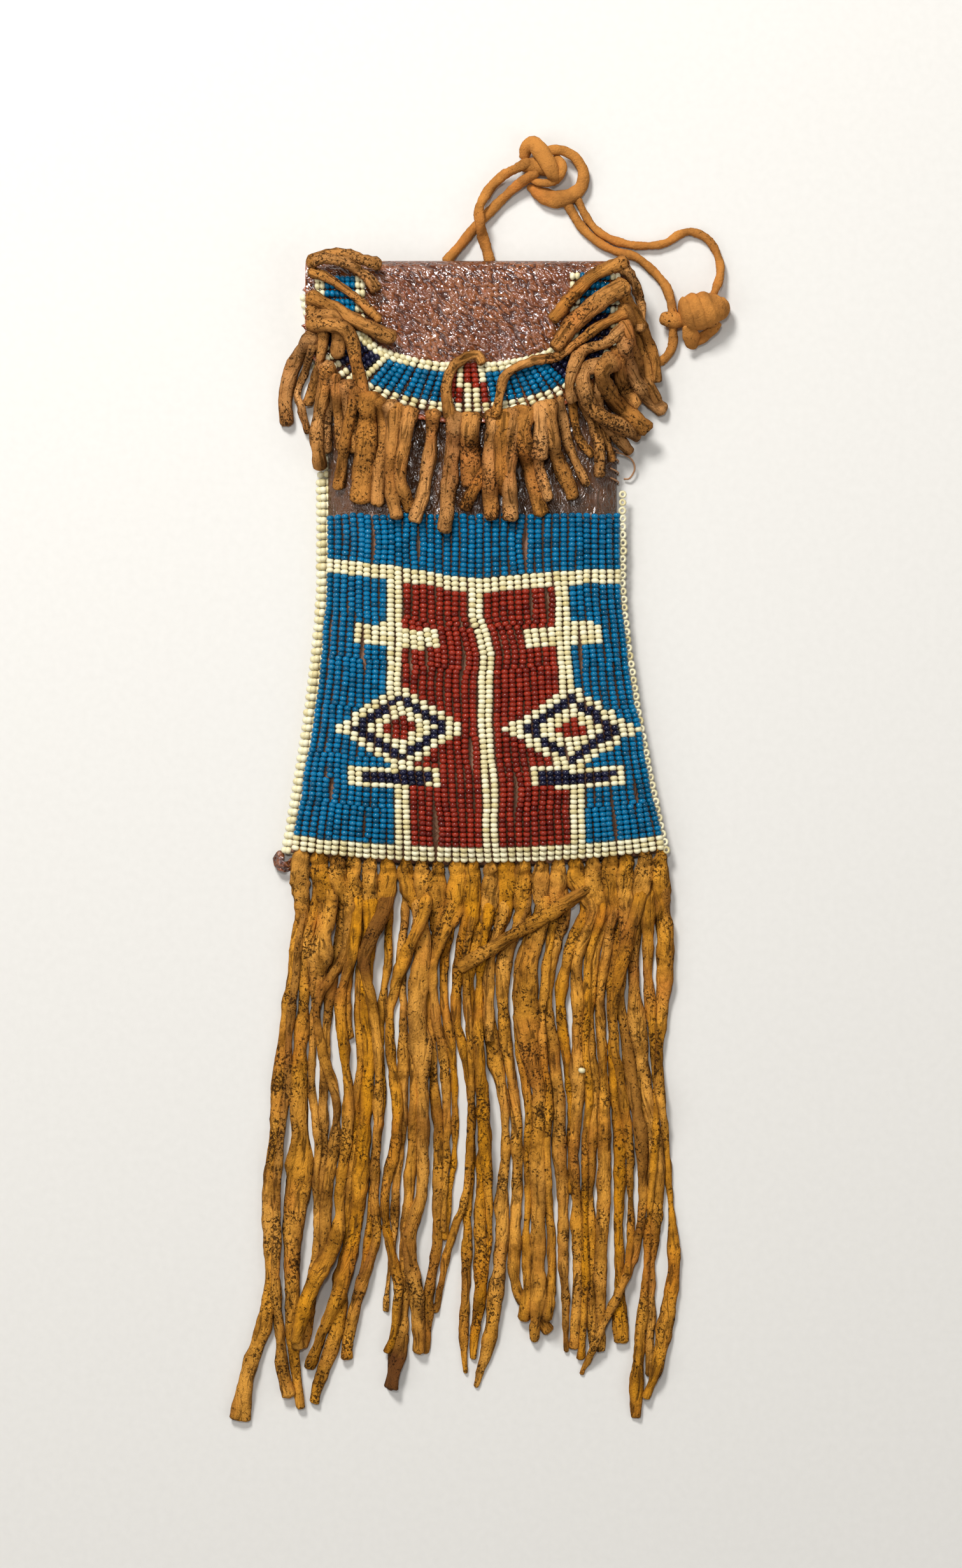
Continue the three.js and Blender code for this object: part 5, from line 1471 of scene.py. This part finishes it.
# Hem fringe: each thong is drawn through the hem and hangs in one tail or two. A tail is its sideways offsets
# from the thong's head at every station below the hem, the last at the tip; how far down the tip lies; and
# its widths, by place along it
FRINGE_STATION = 12
FRINGE = [
    [([0, -2, -3.5, -5, -6.5, -7, -8.5, -8.5, -8, -10, -14, -16], 143.5,
      [(0, 2.8), (30, 2.6), (70, 3.3), (110, 3.4), (128, 4.2), (144, 5)]),
     ([0.5, -1, -2.5, -3.5, -4, -5.5, -6.5, -6.5, -7, -6, -5, -3.5], 137.5,
      [(0, 1.8), (95, 1.9), (115, 2.8), (138, 3.6)])],
    [([-1, -4, -4, -5, -5.5, -5, -5.5, -7, -7, -7, -6, -5], 140,
      [(0, 3), (25, 3), (45, 3.4), (60, 5.6), (70, 7), (82, 6.2), (92, 5.5), (100, 4), (120, 3.4),
       (140, 2.2)]),
     ([2, 0, -1, -2, -2, -0.5, -1, -0.5, -2.5, -5.5, -5.5], 125,
      [(0, 3), (6, 5), (13, 6.8), (20, 7.2), (27, 5), (34, 2.8), (42, 2), (100, 2), (112, 3.2), (125, 2.6)])],
    [([1, 0, -2, -3, -3.5, -3.5, -3.5, -4, -6, -7.5, -8.5], 124, [(0, 2.4), (124, 2.4)]),
     ([3, 2, -4.5, -4, -0.5, -0.5, -2.5, -3, -4.5], 106,
      [(0, 2.6), (36, 2.4), (60, 2.6), (72, 3.2), (84, 3), (106, 2.6)])],
    [([1, -1, -2, -1], 45, [(0, 2.8), (20, 3.2), (30, 2.2), (45, 2.4)]),
     ([1, -0.5, -3.5, -2.5, -1.5, -2, -3.5, -4.5, -10.5, -15], 122,
      [(0, 2.8), (40, 3), (60, 3.2), (84, 2.8), (96, 3.6), (108, 4.2), (122, 3)])],
    [([-0.5, -2, -3, -2.5, -3.5, -4, -5.5, -6, -8, -9, -13, -14.5], 137.5,
      [(0, 3.2), (35, 2.6), (84, 2.2), (96, 2.6), (108, 4.2), (120, 4), (132, 2.6), (138, 2.2)]),
     ([0, -0.5, -1.5, -0.5, -1, -2, -3, -4.5, -7.5, -12.5, -15.5], 128.5,
      [(0, 4.6), (10, 4.4), (24, 3), (48, 3.2), (72, 4), (84, 4.2), (96, 3.2), (108, 3.6), (128, 3.8)])],
    [([0, 0, -1.5, -2, -1.5, -3, -4, -5, -7], 108, [(0, 2), (108, 2)]),
     ([-1, -6, -4, -2.5, -2.5, -3, -3.5, -3, -7, -10, -10.5], 126,
      [(0, 3.4), (12, 3.6), (24, 3), (48, 2.6), (84, 2.4), (108, 3.2), (126, 3)])],
    [([0, -1, -0.5, -0.5, -0.5, -1, -2.5, -3, -4.5, -5], 114,
      [(0, 2.4), (30, 2.2), (42, 3), (60, 2.6), (72, 1.8), (84, 2.2), (100, 1.6), (114, 1.2)]),
     ([3.5, 4.5, 3, 4, 4.5, 4.5, 4, 1, 2.5, 3.5, 3.5], 124,
      [(0, 3), (8, 2.8), (14, 4), (30, 5), (40, 6), (46, 5.6), (54, 4), (84, 3), (96, 4.4), (124, 3)])],
    [([0, -0.5, -2, -2, -2, -2.5, -3.5, -4.5, -4.5, -5.5, -8], 133,
      [(0, 2.6), (60, 3), (100, 2.6), (115, 3), (122, 4.4), (133, 5)]),
     ([0.5, -4.5, -8, -8, -6.5, -7, -9.5, -8.5, -6, -7.5, -9], 124,
      [(0, 3), (14, 3.4), (36, 2.6), (70, 2.8), (84, 2.6), (100, 3), (112, 2.4), (124, 1.4)])],
    [([0, -1.5, -2.5, -2, -1, 0, -0.5, -0.5, -2.5, -3, -3.5], 124,
      [(0, 3), (45, 2.4), (60, 2.8), (96, 2.8), (110, 2.4), (124, 1.3)])],
    [([-0.5, -3, -3, -1, -0.5, -0.5, -2, -3], 95, [(0, 2.4), (24, 1.8), (36, 2.2), (60, 1.8), (95, 1.8)]),
     ([-1.5, -5.5, -5.5, -3.5, -2.5, -2.5, -3, -3.5], 93,
      [(0, 4.4), (10, 3.6), (24, 2.2), (36, 2.4), (48, 3), (60, 2), (93, 1.6)])],
    [([-1.5, -3.5, -4.5, -2.5, -0.5, -0.5, -1.5, -1.5, -2, -2.5, -2], 129,
      [(0, 3.6), (30, 2.8), (60, 1.8), (84, 2.4), (110, 2.6), (129, 1)]),
     ([0, -2, -1.5, -0.5, -0.5, -1, -2, -6, -8.5, -9.5], 113.5, [(0, 1.9), (113, 1.9)])],
    [([-1, -5, -5.5, -4, -2, -1.5, -2.5, -2.5, -2.5, -4, -4.5], 125.5,
      [(0, 3.8), (14, 3.8), (26, 3.2), (36, 2.8), (48, 3.2), (60, 3.4), (100, 3.4), (125, 1.6)]),
     ([-0.5, -2.5, -3, -3, -2, -1.5, -0.5, -0.5, -1], 103,
      [(0, 2.6), (30, 1.8), (44, 3.2), (60, 3.4), (72, 3), (84, 1.8), (103, 1.2)])],
    [([-0.5, -5, -5, -3.5, -1, -0.5, -1.5, -1.5, -3, -4.5, -8], 132.5,
      [(0, 4.4), (8, 3.6), (24, 2), (36, 3.2), (44, 4), (66, 2), (84, 3.4), (108, 4.2), (120, 3.6),
       (132, 1)]),
     ([-1, -4, -4.5, -4.5], 44.5, [(0, 3), (24, 2), (44, 2.2)])],
    [([0, -5, -5.5, -4.5, -2.5, -2, -2, -2.5, -2, 6], 118.5,
      [(0, 3.4), (24, 3.6), (36, 3), (60, 2.6), (84, 2.8), (108, 3), (118, 3.2)])],
    [([-0.5, -5, -6, -5.5, -3.5, -3.5, -3.5, -4, -3.5, -4.5], 115.5,
      [(0, 3.4), (60, 2), (96, 2), (106, 3.2), (115, 3.6)]),
     ([0.5, -3, -4, -2.5, -0.5, -1, -1, -1, -1, -2], 121,
      [(0, 3.4), (14, 4.2), (24, 5), (30, 6.3), (36, 7), (42, 6.4), (48, 4.4), (56, 3.6), (74, 4.6), (84, 4),
       (110, 4.4), (121, 2.4)])],
    [([1.5, -2, -3, -1.5, 0, 0, 1, 1, 1.5, 2], 124,
      [(0, 4), (14, 3.6), (30, 3), (48, 3), (66, 3.8), (84, 2.6), (108, 3), (118, 1.6), (124, 1.4)]),
     ([-1, -3, -4, -4, -2.5, -3, -2.5, -2, -2, -3], 115.5,
      [(0, 2.4), (60, 1.8), (84, 2), (96, 2.4), (115, 3)])],
    [([2.5, -2, -4, -2.5, -1.5, -1.5, -1.5], 84,
      [(0, 3.4), (14, 3), (36, 3), (44, 2.4), (72, 1.4), (84, 1.3)]),
     ([4.5, 0.5, 0.5, 0.5, 0.5, -0.5, 0, 0.5, 0.5, -0.5], 123.5,
      [(0, 2.6), (14, 2.6), (24, 3.4), (66, 3.6), (74, 2.4), (90, 3), (123, 2.6)])],
    [([3, 0.5, -1, -0.5, 0.5, 0, -1, -0.5, -0.5, 0], 124.5,
      [(0, 2.4), (24, 3), (48, 3), (62, 3.8), (74, 3), (100, 3), (124, 2.6)]),
     ([2.5, -1, -1.5, -2, -1, -2, -2, -2, -2, -3], 126.5, [(0, 2), (126, 2)])],
    [([1, -1, -2.5, -2, -1.5, -1.5, -1.5, -2, -2.5, -2.5], 125,
      [(0, 2.8), (24, 2.6), (60, 2.6), (72, 3.4), (96, 3.4), (125, 2)]),
     ([-12.5, -38], 27.5, [(0, 1.6), (6, 3.2), (14, 3.8), (24, 3.6), (45, 3.6)])],
    [([-0.5, -2.5, -4, -3.5, -3, -2, -2, -2, -2, -1.5], 123,
      [(0, 2.6), (60, 2.8), (84, 3), (105, 2.8), (115, 3.8), (123, 4)]),
     ([0, -1, -2, 0, 1.5, 3.5, 4, 3, -1, -6.5, -11.5], 131.5,
      [(0, 2.4), (48, 3), (72, 3.4), (84, 2.4), (120, 2.4), (132, 1)])],
    [([-0.5, -2.5, -2.5, -1, 0, 2.5, 3, 2.5, 1.5, 1.5, 1.5], 132,
      [(0, 2.4), (30, 3.6), (40, 5), (48, 3.4), (60, 4.4), (84, 4.2), (92, 3.4), (100, 2.4), (132, 2.2)]),
     ([-1.5, -5, -7.5, -7.5, -5.5, -4, -3.5, -3.5, -4.5], 106,
      [(0, 3.4), (24, 3.2), (36, 2.2), (72, 2.6), (84, 1.7), (106, 1.6)])],
    [([-3, -3.5, -3, -2, -1.5, -1.5, -2.5, -3.5, -4, -5, -6, -6.5], 143.5,
      [(0, 2.6), (14, 3.2), (36, 2.8), (48, 2), (100, 1.8), (115, 2.6), (130, 3.4), (143, 2.8)]),
     ([0.5, 1, 0.5, -0.5, -0.5, 1, 2, 3, 3, 1, -1.5, -4], 138.5,
      [(0, 4), (14, 4.6), (28, 4.4), (36, 3), (60, 2.4), (72, 1.6), (88, 1.6), (98, 3), (122, 3.6),
       (138, 2)])],
]
# Stretches of tails that are browned and stiff: from and to along the tail, and how far browned
BROWNED = {(0, 1): (-10, 80, 0.5), (5, 1): (-10, 34, 0.8), (7, 0): (110, 150, 0.95), (18, 1): (-10, 80, 0.3),
           (19, 1): (34, 86, 0.6)}
HEAD_BROWNED = {5: (8, 60, 0.7)}
FIRST_HEAD = across_x(-1, HEM_Y) + 3.1
LAST_HEAD = across_x(1, HEM_Y) - 0.6
NECK = 4.0
# A head along its length: a pointed hood on the hem, a crease, a full round shoulder, a taper into its tail
HEAD_WIDTHS = [(0, 1.4), (1.2, 3.1), (2.6, 4.5), (3.6, 4.4), (5, 5.0), (7.4, 5.2), (11, 4.8), (15, 4.0),
               (20, 2.6)]
HEAD_THICKS = [(0, 0.9), (1.2, 1.7), (2.6, 2.1), (3.6, 1.4), (5, 2.6), (7.4, 2.8), (11, 2.4), (15, 2.0),
               (20, 1.2)]
HEAD_HEIGHTS = [(0, 4.2), (2.6, 4.2), (3.6, 3.5), (5, 3.3), (8, 2.8), (12, 2.3), (16, 1.9), (20, 1.3)]
HEAD_LENGTH = 20
HEAD_SIDES = 16
HEAD_RISE = 1.7
HEAD_UNEVEN = 0.14
HEAD_LEAN = 0.9
HEAD_STAGGER = 0.5
HEAD_TWIST = 0.7
HEAD_LUMPS = (1.7, 2.4, 1.7), 0.7
HEAD_NAP = (0.8, 0.8, 0.8), 0.18
# Stations of its tail that a head follows
FOLLOWED_STATIONS = 3
TAIL_SEED, HEAD_SEED = 100, 200


def tail_points(head, offsets, drop):
    """The points of a tail, from its neck at the hem to its tip."""
    hem = hem_line(head)
    points = [Vector((head, hem - NECK, 0))]
    for k, offset in enumerate(offsets):
        down = drop if k == len(offsets) - 1 else (k + 1) * FRINGE_STATION
        points.append(Vector((head + offset, hem - down, 0)))
    return points


def hem_head(bm, head, offsets, browned, seed):
    """The looped head of a thong on the hem, running into the tail with these offsets."""
    hem = hem_line(head) + HEAD_RISE + HEAD_STAGGER * wander(seed, 0.9)
    lean = HEAD_LEAN * wander(seed, 0.4)
    stretch = 1 + HEAD_UNEVEN * wander(seed, 2.7)
    swell = 1 + HEAD_UNEVEN * wander(seed, 5.1)
    drift = [(0, 0), (NECK, 0)]
    drift += [((k + 1) * FRINGE_STATION, side) for k, side in enumerate(offsets[:FOLLOWED_STATIONS])]
    route = []
    for k in range(HEAD_LENGTH + 1):
        share = k / HEAD_LENGTH
        side = along(drift, k * stretch - HEAD_RISE) + lean * math.sin(math.pi * share)
        route.append(Vector((head + side, hem - k * stretch, along(HEAD_HEIGHTS, k))))
    fine = smooth_route(route, FINE_STEP)
    rings = thong_rings(fine, lambda gone: swell * along(HEAD_WIDTHS, gone / stretch),
                        lambda gone: along(HEAD_THICKS, gone / stretch),
                        lambda gone: HEAD_TWIST * wander(seed + 0.2, gone / 6))
    verts = loft(bm, rings, HEAD_SIDES)
    grain_skin(bm, verts, rings, HEAD_SIDES, route_length(fine), seed, browned)
    roughen(bm, verts, *HEAD_LUMPS)
    roughen(bm, verts, *HEAD_NAP)


def floor_ground(spot):
    """What the hem fringe lies on: the same height at every spot."""
    return FLOOR_ROOM


hem_pile = Pile()
hem_meshes = [skin_mesh() for _ in FRINGE]
heads = [lerp(FIRST_HEAD, LAST_HEAD, k / (len(FRINGE) - 1)) for k in range(len(FRINGE))]
for turn in (0, 1):
    for k, tails in enumerate(FRINGE):
        if turn >= len(tails):
            continue
        offsets, drop, widths = tails[turn]
        points = tail_points(heads[k], offsets, drop)
        seed = TAIL_SEED + 2 * k + turn
        browned = BROWNED.get((k, turn), NOWHERE)
        strand(hem_meshes[k], hem_pile, points, widths, floor_ground, seed, HEM_LIE, browned)
hem_thongs = []
for k, bm in enumerate(hem_meshes):
    # A head follows its last tail, which lies on top, unless that one runs off sideways
    offsets = FRINGE[k][-1][0]
    if abs(offsets[0]) > FRINGE_STATION / 2:
        offsets = FRINGE[k][0][0]
    hem_head(bm, heads[k], offsets, HEAD_BROWNED.get(k, NOWHERE), HEAD_SEED + k)
    hem_thongs.append(finish_piece(f"hem_thong_{k + 1:02d}", bm, FRINGE_SKIN, "pouch", "buckskin",
                                   [f"fringe_thong_{k + 1:02d}"]))


# What is cut from flat skin, and what hangs on it
FLAP_CUT = FLAP_SIDE + FLAP_ROUND - FOLD_RADIUS + math.pi * FOLD_RADIUS
flap_area = 2 * FLAP_HALF * (FLAP_CUT - FLAP_ROUND) + math.pi / 2 * FLAP_HALF * FLAP_ROUND
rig.sheet(flap_leather, flat=(2 * FLAP_HALF * MM, FLAP_CUT * MM), area=flap_area * MM ** 2, held="folded",
         rests_on=["front_panel"], with_pieces=[flap_fringe])
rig.sheet(front_leather, flat=(2 * HEM_HALF * MM, (MOUTH_Y - HEM_Y) * MM),
         area=sheet_area(HEM_Y, MOUTH_Y) * MM ** 2, held="stretched", rests_on=["back_panel"],
         with_pieces=hem_thongs)
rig.sheet(back_leather, flat=(2 * HEM_HALF * MM, (FLAT_END - HEM_Y) * MM),
         area=sheet_area(HEM_Y, FLAT_END) * MM ** 2, held="laid")

with open("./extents.json", "w") as sizes:
    json.dump({"cad": [list(map(float, corner)) for corner in cad_box],
               "visual": [list(map(float, corner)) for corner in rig.bounds()]}, sizes)
